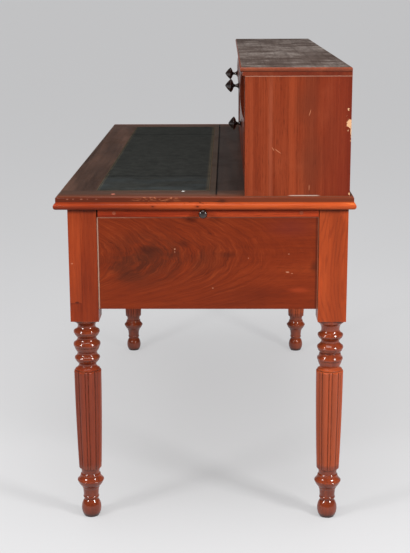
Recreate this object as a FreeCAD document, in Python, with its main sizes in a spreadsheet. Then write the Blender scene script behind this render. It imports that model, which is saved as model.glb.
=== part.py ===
import FreeCAD, Part
import Sketcher
import math
import os
import re
from FreeCAD import Placement, Rotation, Vector

# A mahogany writing desk: four turned legs, a moulded top with a leather writing surface, an end slide
# at each side, three drawers over a kneehole, and a low case of drawers and pigeonholes along the back.
# The desk stands on the floor at zero height. X runs along its length to the right as seen from the
# front, Y runs from the front to the back, and the middle of the top lies over the origin.

os.makedirs("parts", exist_ok=True)
doc = FreeCAD.newDocument("writing_desk")
sizes = doc.addObject("Spreadsheet::Sheet", "sizes")

# Sizes in millimetres, grouped by the piece that they belong to.
DRIVING = (
    # top
    ("top_length", 1420),
    ("top_depth", 656),
    ("writing_height", 760),
    ("top_thickness", 29),
    ("edge_bead", 14.5),
    ("edge_bead_round_share", 0.47),
    ("edge_step", 5),
    ("edge_round", 4.5),
    ("frame_width", 85),
    ("case_margin", 62),
    ("core_margin", 13.5),
    ("leather_thickness", 1.2),
    ("end_sheet_width", 210),
    ("sheet_gap", 0.4),
    ("joint_gap_width", 2.2),
    ("joint_gap_depth", 5),
    ("tongue_length", 8),
    ("tongue_thickness", 8),
    ("tongue_rise", 9),
    ("tongue_inset", 25),
    # overhang of the top past the posts
    ("end_overhang", 17),
    ("front_overhang", 29),
    ("back_overhang", 15),
    # legs
    ("post_size", 63),
    ("post_height", 255),
    # stand
    ("apron_height", 226),
    ("apron_thickness", 20),
    ("apron_setback", 3),
    ("front_setback", 6.5),
    ("rail_thickness", 22),
    ("tenon_length", 22),
    ("tenon_thickness", 10),
    ("tenon_shoulder", 10),
    ("rail_shoulder", 5),
    ("stub_length", 9),
    ("dado_depth", 6),
    ("kneehole_width", 560),
    ("cheek_thickness", 20),
    ("bottom_rail_height", 20),
    ("centre_rail_height", 16),
    ("centre_opening_height", 79.5),
    ("runner_width", 25),
    ("guide_height", 40),
    ("bearer_width", 30),
    ("bearer_thickness", 14),
    ("block_width", 20),
    ("block_length", 40),
    ("block_spread", 150),
    # end slides
    ("slide_thickness", 17),
    ("slide_clearance", 0.75),
    ("slide_side_gap", 1.5),
    ("slide_end_gap", 30),
    ("lipping_width", 18),
    ("lipping_tongue", 8),
    ("lipping_tongue_thickness", 6),
    ("face_peg_size", 8),
    ("face_peg_length", 40),
    ("face_peg_inset", 37.5),
    ("stop_peg_size", 12),
    ("stop_peg_drop", 10),
    ("stop_peg_inset", 91.5),
    ("stop_peg_end", 53.5),
    ("slide_knob_size", 19),
    ("slide_knob_length", 21),
    ("slide_knob_offset", 10),
    # drawers in the stand
    ("drawer_gap", 1),
    ("drawer_front", 22),
    ("drawer_side", 10),
    ("drawer_floor", 6),
    ("drawer_lap", 14),
    ("drawer_groove", 5),
    ("drawer_floor_rise", 8),
    ("drawer_side_drop", 7),
    ("drawer_back_gap", 10),
    ("running_gap", 0.4),
    # back case
    ("case_end_inset", 12),
    ("case_depth", 227.5),
    ("case_height", 275),
    ("case_back_setback", 14),
    ("case_board", 18),
    ("case_base", 22),
    ("case_setback", 1.5),
    ("case_dado", 4),
    ("back_panel", 10),
    ("back_panel_setback", 2),
    ("lid_thickness", 18),
    ("lid_bead", 10),
    ("lid_bead_round_share", 0.44),
    ("lid_front_reach", 10),
    ("lid_end_reach", 3.5),
    ("lid_fillet_front", 4.5),
    ("lid_fillet_end", 1.5),
    ("drawer_block_width", 850),
    ("upright_thickness", 14),
    ("low_opening_height", 108),
    ("shelf_thickness", 10),
    ("partition_thickness", 12),
    ("base_tongue_thickness", 11),
    ("dowel_size", 8),
    ("dowel_depth", 12),
    ("dowel_inset", 50),
    # drawers in the case
    ("small_gap", 0.8),
    ("small_front", 16),
    ("small_side", 8),
    ("small_floor", 5),
    ("small_lap", 9),
    ("small_groove", 4),
    ("small_floor_rise", 6),
    ("small_side_drop", 5),
    ("small_back_gap", 4),
    ("bow_rise", 7),
    # turned knobs
    ("knob_size", 33.5),
    ("wide_knob_size", 36.5),
    ("knob_length", 35),
    ("spigot_size", 9),
    ("spigot_length", 12),
    ("wide_knob_rise", 58),
    # reach of cutting shapes past what they cut
    ("overrun", 10),
)

# Places worked out from the sizes: half widths, faces, floors and the clear openings.
PLACES = (
    ("top_x", "top_length / 2"),
    ("top_y", "top_depth / 2"),
    ("top_under_z", "writing_height - top_thickness"),
    ("bead_top_z", "top_under_z + edge_bead"),
    ("edge_bead_round", "edge_bead * edge_bead_round_share"),
    ("clamp_in_x", "top_x - frame_width"),
    ("frame_in_y", "frame_width - top_y"),
    ("case_back_y", "top_y - case_back_setback"),
    ("case_front_y", "case_back_y - case_depth"),
    ("core_back_y", "case_front_y - case_margin"),
    ("leather_under_z", "writing_height - leather_thickness"),
    ("leather_back_y", "core_back_y - core_margin"),
    ("seam_x", "clamp_in_x - end_sheet_width"),
    ("tongue_low_z", "top_under_z + tongue_rise"),
    ("tongue_high_z", "tongue_low_z + tongue_thickness"),
    ("post_out_x", "top_x - end_overhang"),
    ("post_in_x", "post_out_x - post_size"),
    ("post_front_y", "front_overhang - top_y"),
    ("post_front_in_y", "post_front_y + post_size"),
    ("post_back_y", "top_y - back_overhang"),
    ("post_back_in_y", "post_back_y - post_size"),
    ("turned_height", "top_under_z - post_height"),
    ("apron_bottom", "top_under_z - apron_height"),
    ("apron_out_x", "post_out_x - apron_setback"),
    ("apron_in_x", "apron_out_x - apron_thickness"),
    ("apron_back_y", "post_back_y - apron_setback"),
    ("apron_back_in_y", "apron_back_y - apron_thickness"),
    ("rail_front_y", "post_front_y + front_setback"),
    ("rail_back_y", "rail_front_y + rail_thickness"),
    ("slide_floor_z", "top_under_z - slide_thickness - 2 * slide_clearance"),
    ("bearer_under_z", "slide_floor_z - bearer_thickness"),
    ("kneehole_x", "kneehole_width / 2"),
    ("cheek_out_x", "kneehole_x + cheek_thickness"),
    ("side_floor_z", "apron_bottom + bottom_rail_height"),
    ("centre_floor_z", "bearer_under_z - centre_opening_height"),
    ("centre_rail_under_z", "centre_floor_z - centre_rail_height"),
    ("drawer_face_y", "rail_front_y + drawer_gap"),
    ("drawer_rear_y", "apron_back_in_y - drawer_back_gap"),
    ("slide_front_y", "post_front_in_y + slide_side_gap"),
    ("slide_back_y", "post_back_in_y - slide_side_gap"),
    ("slide_mid_y", "(slide_front_y + slide_back_y) / 2"),
    ("slide_under_z", "slide_floor_z + slide_clearance"),
    ("slide_top_z", "slide_under_z + slide_thickness"),
    ("slide_mid_z", "(slide_under_z + slide_top_z) / 2"),
    ("slide_in_x", "cheek_out_x + slide_end_gap"),
    ("lipping_in_x", "post_out_x - lipping_width"),
    ("stop_peg_x", "slide_in_x + stop_peg_end"),
    ("case_x", "top_x - case_end_inset"),
    ("case_in_x", "case_x - case_board"),
    ("case_inner_y", "case_front_y + case_setback"),
    ("panel_back_y", "case_back_y - back_panel_setback"),
    ("panel_front_y", "panel_back_y - back_panel"),
    ("lid_top_z", "writing_height + case_height"),
    ("lid_under_z", "lid_top_z - lid_thickness"),
    ("lid_bead_z", "lid_top_z - lid_bead"),
    ("lid_bead_round", "lid_bead * lid_bead_round_share"),
    ("case_floor_z", "writing_height + case_base"),
    ("shelf_under_z", "case_floor_z + low_opening_height"),
    ("shelf_top_z", "shelf_under_z + shelf_thickness"),
    ("upright_in_x", "drawer_block_width / 2"),
    ("upright_out_x", "upright_in_x + upright_thickness"),
    ("partition_x", "partition_thickness / 2"),
    ("bow_face_y", "case_front_y - bow_rise"),
    ("small_rear_y", "panel_front_y - small_back_gap"),
    ("dowel_x", "case_x - case_board / 2"),
    ("dowel_front_y", "case_front_y + dowel_inset"),
    ("dowel_back_y", "case_back_y - dowel_inset"),
)

for row, (alias, amount) in enumerate(DRIVING, start=1):
    sizes.set(f"A{row}", alias)
    sizes.set(f"B{row}", str(amount))
    sizes.setAlias(f"B{row}", alias)
for row, (alias, formula) in enumerate(PLACES, start=1):
    sizes.set(f"D{row}", alias)
    sizes.set(f"E{row}", f"={formula}")
    sizes.setAlias(f"E{row}", alias)
doc.recompute()

nodes = []


def bound(text):
    """The expression with each size's name written as the document finds it."""
    return re.sub(r"[a-z]\w+", lambda word: "sizes." + word.group(), text)


def number(text):
    """The value of an expression of sizes."""
    return float(sizes.evalExpression(bound(text)))


def board(name, x, y, z):
    """A straight board between two places along each axis."""
    box = doc.addObject("Part::Box", name)
    for axis, side, (low, high) in zip("xyz", ("Length", "Width", "Height"), (x, y, z)):
        box.setExpression(side, bound(f"({high}) - ({low})"))
        box.setExpression(f"Placement.Base.{axis}", bound(low))
    return box


def peg(name, size, length, start, along):
    """A round peg of a size and length, from its start along an axis."""
    rod = doc.addObject("Part::Cylinder", name)
    rod.setExpression("Radius", bound(f"({size}) / 2"))
    rod.setExpression("Height", bound(length))
    return placed(rod, start, along)


def fused(name, *pieces):
    """Pieces made out of one piece of wood."""
    whole = doc.addObject("Part::MultiFuse", name)
    whole.Shapes = list(pieces)
    whole.Refine = True
    return whole


def cut(name, base, *tools):
    """A piece with mortises, grooves or holes cut by other pieces."""
    result = doc.addObject("Part::Cut", name)
    result.Base = base
    result.Tool = tools[0] if len(tools) == 1 else fused(name + "_tools", *tools)
    return result


def common(name, base, region):
    """The part of a piece that lies in a region."""
    result = doc.addObject("Part::Common", name)
    result.Base = base
    result.Tool = region
    return result


def group(name, *pieces):
    """Like small pieces kept together, each still a solid of its own."""
    bundle = doc.addObject("Part::Compound", name)
    bundle.Links = list(pieces)
    return bundle


def mirrored(name, source):
    """The left-hand twin of a right-hand piece."""
    twin = doc.addObject("Part::Mirroring", name)
    twin.Source = source
    twin.Base = Vector(0, 0, 0)
    twin.Normal = Vector(1, 0, 0)
    return twin


def placed(piece, place, facing=(0, 0, 1)):
    """Put a piece at a place, with its own Z axis turned to face a direction."""
    piece.Placement = Placement(Vector(0, 0, 0), Rotation(Vector(0, 0, 1), Vector(*facing)))
    for axis, position in zip("xyz", place):
        if position:
            piece.setExpression(f"Placement.Base.{axis}", bound(position))
    return piece


def rounded(name, base, radius, heights):
    """A flat piece with its level edges at some heights rounded."""
    doc.recompute()
    picked = []
    for index, edge in enumerate(base.Shape.Edges, start=1):
        box = edge.BoundBox
        level = any(math.isclose(box.ZMin, height, abs_tol=radius / 8) for height in heights)
        if level and math.isclose(box.ZMin, box.ZMax, abs_tol=radius / 8):
            picked.append((index, radius, radius))
    piece = doc.addObject("Part::Fillet", name)
    piece.Base = base
    piece.Edges = picked
    return piece


def node(*pieces):
    """List finished pieces of the desk."""
    nodes.extend(pieces)


def turned(name, rows, size, length):
    """A body turned on the Z axis from rows of radius share, height share and bulge of the next stretch."""
    body = doc.addObject("PartDesign::Body", name)
    profile = body.newObject("Sketcher::SketchObject", name + "_profile")
    plane = next(feature for feature in body.Origin.OriginFeatures if feature.Role == "XZ_Plane")
    profile.AttachmentSupport = (plane, [""])
    profile.MapMode = "FlatFace"
    radius, height = number(f"({size}) / 2"), number(length)
    corners = [Vector(share * radius, rise * height, 0) for share, rise, bulge in rows]
    origin, head = Vector(0, 0, 0), Vector(0, corners[-1].y, 0)
    line = profile.addGeometry(Part.LineSegment(origin, corners[0]))
    rules = [Sketcher.Constraint("Coincident", line, 1, -1, 1), Sketcher.Constraint("Horizontal", line)]
    formulas = {}
    before = (line, 2)
    for start, end, row, ahead in zip(corners, corners[1:] + [head], rows, rows[1:] + (None,)):
        share, rise, bulge = row
        if bulge:
            run = end - start
            crown = (start + end) / 2 + Vector(run.y, -run.x, 0) * bulge
            curve = profile.addGeometry(Part.Arc(start, crown, end))
            chord = f"((({ahead[0]} - {share}) * ({size}) / 2)^2 + (({ahead[1]} - {rise}) * {length})^2)^(1 / 2)"
            formulas[len(rules)] = f"{chord} * (1 / (8 * {abs(bulge)}) + {abs(bulge)} / 2)"
            rules.append(Sketcher.Constraint("Radius", curve, run.Length * (1 / (8 * abs(bulge)) + abs(bulge) / 2)))
        else:
            curve = profile.addGeometry(Part.LineSegment(start, end))
        first, second = (1, 2) if profile.getPoint(curve, 1).isEqual(start, (end - start).Length / 2) else (2, 1)
        rules.append(Sketcher.Constraint("Coincident", *before, curve, first))
        formulas[len(rules)] = f"{share} * ({size}) / 2"
        rules.append(Sketcher.Constraint("DistanceX", -1, 1, curve, first, start.x))
        if rise:
            formulas[len(rules)] = f"{rise} * {length}"
            rules.append(Sketcher.Constraint("DistanceY", -1, 1, curve, first, start.y))
        before = (curve, second)
    rules.append(Sketcher.Constraint("Horizontal", curve))
    axis = profile.addGeometry(Part.LineSegment(head, origin))
    rules.append(Sketcher.Constraint("Coincident", *before, axis, 1))
    rules.append(Sketcher.Constraint("PointOnObject", axis, 1, -2))
    rules.append(Sketcher.Constraint("Coincident", axis, 2, -1, 1))
    profile.addConstraint(rules)
    for index, formula in formulas.items():
        profile.setExpression(f"Constraints[{index}]", bound(formula))
    turning = body.newObject("PartDesign::Revolution", name + "_turning")
    turning.Profile = profile
    turning.ReferenceAxis = (profile, ["V_Axis"])
    turning.Angle = 360
    return body


# Leg. The profile goes up from the ball foot through the collar, the reeded shaft and three rings to the
# underside of the square post. Radii are shares of half the post, heights of the turned height.
LEG_SHARES = (
    (0.540, 0.0, 0.155),
    (0.511, 0.0861, 0),
    (0.511, 0.0908, 0),
    (0.565, 0.0954, 0.14),
    (0.565, 0.1042, 0),
    (0.549, 0.1059, -0.02),
    (0.597, 0.1418, 0),
    (0.648, 0.1483, 0),
    (0.654, 0.1538, 0.07),
    (0.940, 0.1819, 0.22),
    (0.933, 0.1916, 0),
    (0.898, 0.1929, 0),
    (0.889, 0.1950, -0.06),
    (0.743, 0.2113, 0),
    (0.737, 0.2134, 0.16),
    (0.673, 0.2210, 0),
    (0.654, 0.2231, -0.03),
    (0.705, 0.2489, 0.25),
    (0.857, 0.2668, 0.012),
    (1.041, 0.7336, 0.15),
    (0.863, 0.7492, 0),
    (0.863, 0.7504, 0),
    (0.883, 0.7517, 0),
    (0.883, 0.7538, -0.08),
)
# Each ring is a full bead between two small quirks, with a hollow above it and a bevel below. The rings
# were turned by eye, so those of the front legs and of the back legs differ.
FRONT_RING_SHARES = (
    (0.679, 0.7664, -0.1),
    (0.632, 0.7735, 0),
    (0.632, 0.7803, 0.04),
    (0.851, 0.7989, 0),
    (0.829, 0.8011, 0),
    (0.873, 0.8021, 0.17),
    (0.879, 0.8147, 0),
    (0.844, 0.8153, 0),
    (0.832, 0.8172, -0.12),
    (0.711, 0.8336, 0),
    (0.711, 0.8374, 0.06),
    (0.898, 0.8620, 0),
    (0.876, 0.8641, 0),
    (0.921, 0.8651, 0.17),
    (0.927, 0.8838, 0),
    (0.892, 0.8845, 0),
    (0.879, 0.8863, -0.12),
    (0.679, 0.9059, 0),
    (0.679, 0.9092, 0.04),
    (0.876, 0.9267, 0),
    (0.854, 0.9288, 0),
    (0.898, 0.9298, 0.17),
    (0.905, 0.9441, 0),
    (0.870, 0.9447, 0),
    (0.857, 0.9466, -0.12),
    (0.632, 0.9618, 0),
    (0.632, 0.9693, -0.12),
    (0.949, 0.9912, 0),
    (0.949, 1.0000, 0),
)
BACK_RING_SHARES = (
    (0.711, 0.7634, 0),
    (0.705, 0.7672, 0.05),
    (0.860, 0.7952, 0),
    (0.838, 0.7973, 0),
    (0.883, 0.7983, 0.17),
    (0.889, 0.8130, 0),
    (0.854, 0.8137, 0),
    (0.841, 0.8155, -0.04),
    (0.768, 0.8315, 0),
    (0.717, 0.8353, 0),
    (0.717, 0.8374, 0.09),
    (0.873, 0.8496, 0),
    (0.851, 0.8517, 0),
    (0.895, 0.8527, 0.17),
    (0.902, 0.8689, 0),
    (0.867, 0.8695, 0),
    (0.854, 0.8714, -0.05),
    (0.648, 0.8870, 0),
    (0.648, 0.8962, 0.03),
    (0.857, 0.9116, 0),
    (0.835, 0.9137, 0),
    (0.879, 0.9147, 0.17),
    (0.886, 0.9265, 0),
    (0.851, 0.9271, 0),
    (0.838, 0.9290, -0.12),
    (0.657, 0.9462, 0),
    (0.657, 0.9525, -0.13),
    (0.949, 0.9853, 0),
    (0.949, 1.0000, 0),
)
# Crests of the reeds at the foot, the middle and the head of the shaft, as shares like the leg's.
SHAFT_SHARES = (
    (0.841, 0.2489),
    (0.952, 0.4900),
    (1.003, 0.7492),
)
REED_COUNT = 8
REED_ANGLE_SHARE = 0.69
REED_CREST_SHARE = 1.0
BEAD_CREST_SHARE = 0.968
GROOVE_SHARE = 0.9


def reeded_wire(radius, height):
    """A ring of broad reeds with a narrow bead between each two, closed at a height."""
    pitch = 2 * math.pi / REED_COUNT
    edges = []
    for turn in range(REED_COUNT):
        middle = turn * pitch
        bead = pitch * (1 - REED_ANGLE_SHARE) / 2
        reed = pitch - bead
        spans = ((middle - bead, middle + bead, BEAD_CREST_SHARE), (middle + bead, middle + reed, REED_CREST_SHARE))
        for start, end, crest in spans:
            points = []
            for angle, share in ((start, GROOVE_SHARE), ((start + end) / 2, crest), (end, GROOVE_SHARE)):
                reach = radius * share
                points.append(Vector(reach * math.cos(angle), reach * math.sin(angle), height))
            edges.append(Part.Arc(*points).toShape())
    return Part.Wire(edges)


leg_axis_x = "post_in_x + post_size / 2"
leg_axis_y = "post_front_y + post_size / 2"
half_post, turned_height = number("post_size / 2"), number("turned_height")
sections = [reeded_wire(half_post * share, turned_height * rise) for share, rise in SHAFT_SHARES]
reeds = doc.addObject("Part::Feature", "leg_reeds")
reeds.Shape = Part.makeLoft(sections, True)
placed(reeds, (leg_axis_x, leg_axis_y, None))
shaft_foot, shaft_head = SHAFT_SHARES[0][-1], SHAFT_SHARES[-1][-1]
shaft_waste = peg(
    "shaft_waste",
    "2 * post_size",
    f"({shaft_head} - {shaft_foot}) * turned_height",
    (leg_axis_x, leg_axis_y, f"{shaft_foot} * turned_height"),
    (0, 0, 1),
)
reeding_waste = cut("reeding_waste", shaft_waste, reeds)
post_y = ("post_front_y", "post_front_in_y")
leg_post = board("leg_post", ("post_in_x", "post_out_x"), post_y, ("turned_height", "top_under_z"))


def reeded_leg(name, rings):
    """A turned and reeded leg in one piece with its post, standing at the front right."""
    turning = turned(name + "_turning", LEG_SHARES + rings, "post_size", "turned_height")
    turning = placed(turning, (leg_axis_x, leg_axis_y, None))
    return fused(name + "_blank", cut(name + "_reeded", turning, reeding_waste), leg_post)


front_blank = reeded_leg("leg_front", FRONT_RING_SHARES)
back_blank = doc.addObject("Part::Mirroring", "leg_back_mirrored")
back_blank.Source = reeded_leg("leg_back", BACK_RING_SHARES)
back_blank.Normal = Vector(0, 1, 0)
back_blank.setExpression("Base.y", bound("(post_front_y + post_back_y) / 2"))


# Tenons of the rails and aprons on the right, each used to cut its mortise as well.
apron_mid_x = "(apron_in_x + apron_out_x) / 2"
apron_mid_y = "(apron_back_in_y + apron_back_y) / 2"
rail_mid_y = "(rail_front_y + rail_back_y) / 2"


def about(middle):
    """The two faces of a tenon that lies about a middle line."""
    return (f"{middle} - tenon_thickness / 2", f"{middle} + tenon_thickness / 2")


post_mortise_x = ("post_in_x", "post_in_x + tenon_length")
end_tenon_z = ("apron_bottom + tenon_shoulder", "slide_floor_z - tenon_shoulder")
end_tenon_front = board(
    "end_tenon_front", about(apron_mid_x), ("post_front_in_y - tenon_length", "post_front_in_y"), end_tenon_z
)
end_tenon_back = board(
    "end_tenon_back", about(apron_mid_x), ("post_back_in_y", "post_back_in_y + tenon_length"), end_tenon_z
)
back_tenon = board(
    "back_tenon",
    post_mortise_x,
    about(apron_mid_y),
    ("apron_bottom + tenon_shoulder", "top_under_z - tenon_shoulder"),
)
top_rail_tenon = board(
    "top_rail_tenon",
    post_mortise_x,
    about(rail_mid_y),
    ("bearer_under_z + rail_shoulder", "top_under_z - rail_shoulder"),
)
bottom_rail_z = ("apron_bottom + rail_shoulder", "side_floor_z - rail_shoulder")
bottom_rail_tenon = board("bottom_rail_tenon", post_mortise_x, about(rail_mid_y), bottom_rail_z)
bottom_rail_stub = board(
    "bottom_rail_stub", ("cheek_out_x - stub_length", "cheek_out_x"), about(rail_mid_y), bottom_rail_z
)
centre_rail_stub = board(
    "centre_rail_stub",
    ("kneehole_x", "kneehole_x + stub_length"),
    about(rail_mid_y),
    ("centre_rail_under_z + rail_shoulder", "centre_floor_z - rail_shoulder"),
)

# Legs. The mortises of the front pair and of the back pair differ.
front_leg = cut("leg_front_right", front_blank, end_tenon_front, top_rail_tenon, bottom_rail_tenon)
back_leg = cut("leg_back_right", back_blank, end_tenon_back, back_tenon)
node(front_leg, mirrored("leg_front_left", front_leg), back_leg, mirrored("leg_back_left", back_leg))

# End aprons, deep boards under the end slides.
end_apron = fused(
    "end_apron_right",
    board(
        "end_apron_board",
        ("apron_in_x", "apron_out_x"),
        ("post_front_in_y", "post_back_in_y"),
        ("apron_bottom", "slide_floor_z"),
    ),
    end_tenon_front,
    end_tenon_back,
)
node(end_apron, mirrored("end_apron_left", end_apron))

# Cheeks, the two partitions beside the kneehole, notched at the top for the front rail.
cheek_board = board(
    "cheek_board",
    ("kneehole_x", "cheek_out_x"),
    ("rail_front_y", "apron_back_in_y + dado_depth"),
    ("apron_bottom", "top_under_z"),
)
front_rail_board = board(
    "front_rail_board",
    ("-post_in_x", "post_in_x"),
    ("rail_front_y", "rail_back_y"),
    ("bearer_under_z", "top_under_z"),
)
cheek = cut("cheek_right", cheek_board, front_rail_board, bottom_rail_stub, centre_rail_stub)
cheek_left = mirrored("cheek_left", cheek)
node(cheek, cheek_left)

# Back apron, with a dado for the back edge of each cheek.
back_board = fused(
    "back_apron_board",
    board(
        "back_apron_middle",
        ("-post_in_x", "post_in_x"),
        ("apron_back_in_y", "apron_back_y"),
        ("apron_bottom", "top_under_z"),
    ),
    back_tenon,
    mirrored("back_tenon_left", back_tenon),
)
node(cut("back_apron", back_board, cheek, cheek_left))

# Rails of the front: one across the whole front under the top, one under each drawer.
node(fused("front_top_rail", front_rail_board, top_rail_tenon, mirrored("top_rail_tenon_left", top_rail_tenon)))
centre_rail = board(
    "centre_rail_middle",
    ("-kneehole_x", "kneehole_x"),
    ("rail_front_y", "rail_back_y"),
    ("centre_rail_under_z", "centre_floor_z"),
)
node(fused("centre_drawer_rail", centre_rail, centre_rail_stub, mirrored("centre_stub_left", centre_rail_stub)))
bottom_rail = fused(
    "bottom_rail",
    board(
        "bottom_rail_middle",
        ("cheek_out_x", "post_in_x"),
        ("rail_front_y", "rail_back_y"),
        ("apron_bottom", "side_floor_z"),
    ),
    bottom_rail_tenon,
    bottom_rail_stub,
)
node(group("bottom_rails", bottom_rail, mirrored("bottom_rail_twin", bottom_rail)))

# Runners and guides of the drawers, and the kickers over the centre drawer.
run_y = ("rail_back_y", "apron_back_in_y")
runner_rows = (
    ("guide", ("post_in_x", "apron_in_x"), ("post_front_in_y", "post_back_in_y"), "apron_bottom", "guide_height"),
    ("outer_runner", ("post_in_x - runner_width", "post_in_x"), run_y, "apron_bottom", "bottom_rail_height"),
    ("inner_runner", ("cheek_out_x", "cheek_out_x + runner_width"), run_y, "apron_bottom", "bottom_rail_height"),
    ("centre_runner", ("kneehole_x - runner_width", "kneehole_x"), run_y, "centre_rail_under_z", "centre_rail_height"),
    ("kicker", ("kneehole_x - runner_width", "kneehole_x"), run_y, "bearer_under_z", "bearer_thickness"),
)
runners = []
for name, span_x, span_y, low, height in runner_rows:
    runner = board(name, span_x, span_y, (low, f"{low} + {height}"))
    runners += [runner, mirrored(name + "_twin", runner)]
node(group("drawer_runners", *runners))

# Bearers that carry the end slides, and the guides that keep them square.
bearer_z = ("bearer_under_z", "slide_floor_z")
guide_z = ("bearer_under_z", "top_under_z")
bearer_rows = (
    ("front_bearer", "apron_in_x", ("post_front_in_y", "post_front_in_y + bearer_width"), bearer_z),
    ("back_bearer", "apron_in_x", ("post_back_in_y - bearer_width", "post_back_in_y"), bearer_z),
    ("front_slide_guide", "post_in_x", ("rail_back_y", "post_front_in_y"), guide_z),
    ("back_slide_guide", "post_in_x", ("post_back_in_y", "apron_back_in_y"), guide_z),
)
bearers = []
for name, end_x, span_y, span_z in bearer_rows:
    bearer = board(name, ("cheek_out_x", end_x), span_y, span_z)
    bearers += [bearer, mirrored(name + "_twin", bearer)]
node(group("slide_bearers", *bearers))

# Glue blocks under the top, on the kickers and against the back apron.
block_rows = (
    ("front_block", ("kneehole_x - block_width", "kneehole_x"), ("-block_spread", "block_length - block_spread")),
    ("back_block", ("kneehole_x - block_width", "kneehole_x"), ("block_spread - block_length", "block_spread")),
    ("apron_block", ("block_spread - block_length", "block_spread"), ("apron_back_in_y - block_width", "apron_back_in_y")),
)
blocks = []
for name, span_x, span_y in block_rows:
    block = board(name, span_x, span_y, ("slide_floor_z", "top_under_z"))
    blocks += [block, mirrored(name + "_twin", block)]
node(group("glue_blocks", *blocks))

# The whole top before it is divided: a lower bead all round and a narrower upper step.
lower_slab = board("lower_slab", ("-top_x", "top_x"), ("-top_y", "top_y"), ("top_under_z", "bead_top_z"))
lower_slab = rounded(
    "lower_slab_round", lower_slab, number("edge_bead_round"), (number("top_under_z"), number("bead_top_z"))
)
upper_slab = board(
    "upper_slab",
    ("edge_step - top_x", "top_x - edge_step"),
    ("edge_step - top_y", "top_y - edge_step"),
    ("bead_top_z - edge_step", "writing_height"),
)
upper_slab = rounded("upper_slab_round", upper_slab, number("edge_round"), (number("writing_height"),))
slab = fused("slab", lower_slab, upper_slab)

# Tongues of the core and the boards of the top, in the grooves of the end clamps and of each other.
tongue_z = ("tongue_low_z", "tongue_high_z")
end_tongue_x = ("clamp_in_x", "clamp_in_x + tongue_length")
core_end_tongue = board("core_end_tongue", end_tongue_x, ("frame_in_y", "core_back_y"), tongue_z)
front_end_tongue = board(
    "front_end_tongue", end_tongue_x, ("tongue_inset - top_y", "frame_in_y - tongue_length"), tongue_z
)
back_end_tongue = board(
    "back_end_tongue", end_tongue_x, ("core_back_y + tongue_length", "top_y - tongue_inset"), tongue_z
)
core_span_x = ("-clamp_in_x", "clamp_in_x")
core_front_tongue = board("core_front_tongue", core_span_x, ("frame_in_y - tongue_length", "frame_in_y"), tongue_z)
core_back_tongue = board("core_back_tongue", core_span_x, ("core_back_y", "core_back_y + tongue_length"), tongue_z)

node(
    fused(
        "top_core",
        board("core_panel", core_span_x, ("frame_in_y", "core_back_y"), ("top_under_z", "leather_under_z")),
        board("core_edge", core_span_x, ("leather_back_y", "core_back_y"), ("leather_under_z", "writing_height")),
        core_front_tongue,
        core_back_tongue,
        core_end_tongue,
        mirrored("core_end_tongue_left", core_end_tongue),
    )
)

# Front and back boards of the top.
beyond_y = "top_y + overrun"
slab_z = ("top_under_z - overrun", "writing_height + overrun")
front_region = board("front_region", core_span_x, (f"-({beyond_y})", "frame_in_y"), slab_z)
front_board = fused(
    "front_board_whole",
    common("front_board_slab", slab, front_region),
    front_end_tongue,
    mirrored("front_end_tongue_left", front_end_tongue),
)
node(cut("top_front_board", front_board, core_front_tongue))
back_region = board("back_region", core_span_x, ("core_back_y", beyond_y), slab_z)
back_piece = fused(
    "back_board_whole",
    common("back_board_slab", slab, back_region),
    back_end_tongue,
    mirrored("back_end_tongue_left", back_end_tongue),
)
joint_gap = board(
    "joint_gap",
    core_span_x,
    ("core_back_y", "core_back_y + joint_gap_width"),
    ("writing_height - joint_gap_depth", "writing_height + overrun"),
)
# Dowels that hold the case down on the top.
dowels = []
for place in ("front", "back"):
    start = ("dowel_x", f"dowel_{place}_y", "writing_height - dowel_depth")
    dowel = peg(f"dowel_{place}", "dowel_size", "2 * dowel_depth", start, (0, 0, 1))
    dowels += [dowel, mirrored(f"dowel_{place}_twin", dowel)]
node(group("case_dowels", *dowels))
node(cut("top_back_board", back_piece, core_back_tongue, joint_gap, *dowels))

# End clamps of the top, across the ends of the core and of both boards.
clamp_region = board("clamp_region", ("clamp_in_x", "top_x + overrun"), (f"-({beyond_y})", beyond_y), slab_z)
clamp = cut(
    "top_clamp_right",
    common("clamp_slab", slab, clamp_region),
    core_end_tongue,
    front_end_tongue,
    back_end_tongue,
    *dowels,
)
node(clamp, mirrored("top_clamp_left", clamp))

# Leather in three sheets, with a seam near each end.
leather_y = ("frame_in_y", "leather_back_y")
leather_z = ("leather_under_z", "writing_height")
middle_sheet = board("middle_sheet", ("sheet_gap / 2 - seam_x", "seam_x - sheet_gap / 2"), leather_y, leather_z)
end_sheet = board("end_sheet", ("seam_x + sheet_gap / 2", "clamp_in_x"), leather_y, leather_z)
node(group("writing_leather", middle_sheet, end_sheet, mirrored("end_sheet_twin", end_sheet)))


# Small mushroom knob of an end slide, radii as shares of half its size, heights of its length.
SLIDE_KNOB_SHARES = (
    (0.62, 0.0, 0),
    (0.62, 0.08, -0.1),
    (0.42, 0.30, -0.12),
    (0.66, 0.50, 0.1),
    (0.98, 0.62, 0.14),
    (0.94, 0.80, 0.16),
    (0.45, 0.97, 0.05),
    (0.2, 1.0, 0),
)

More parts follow.
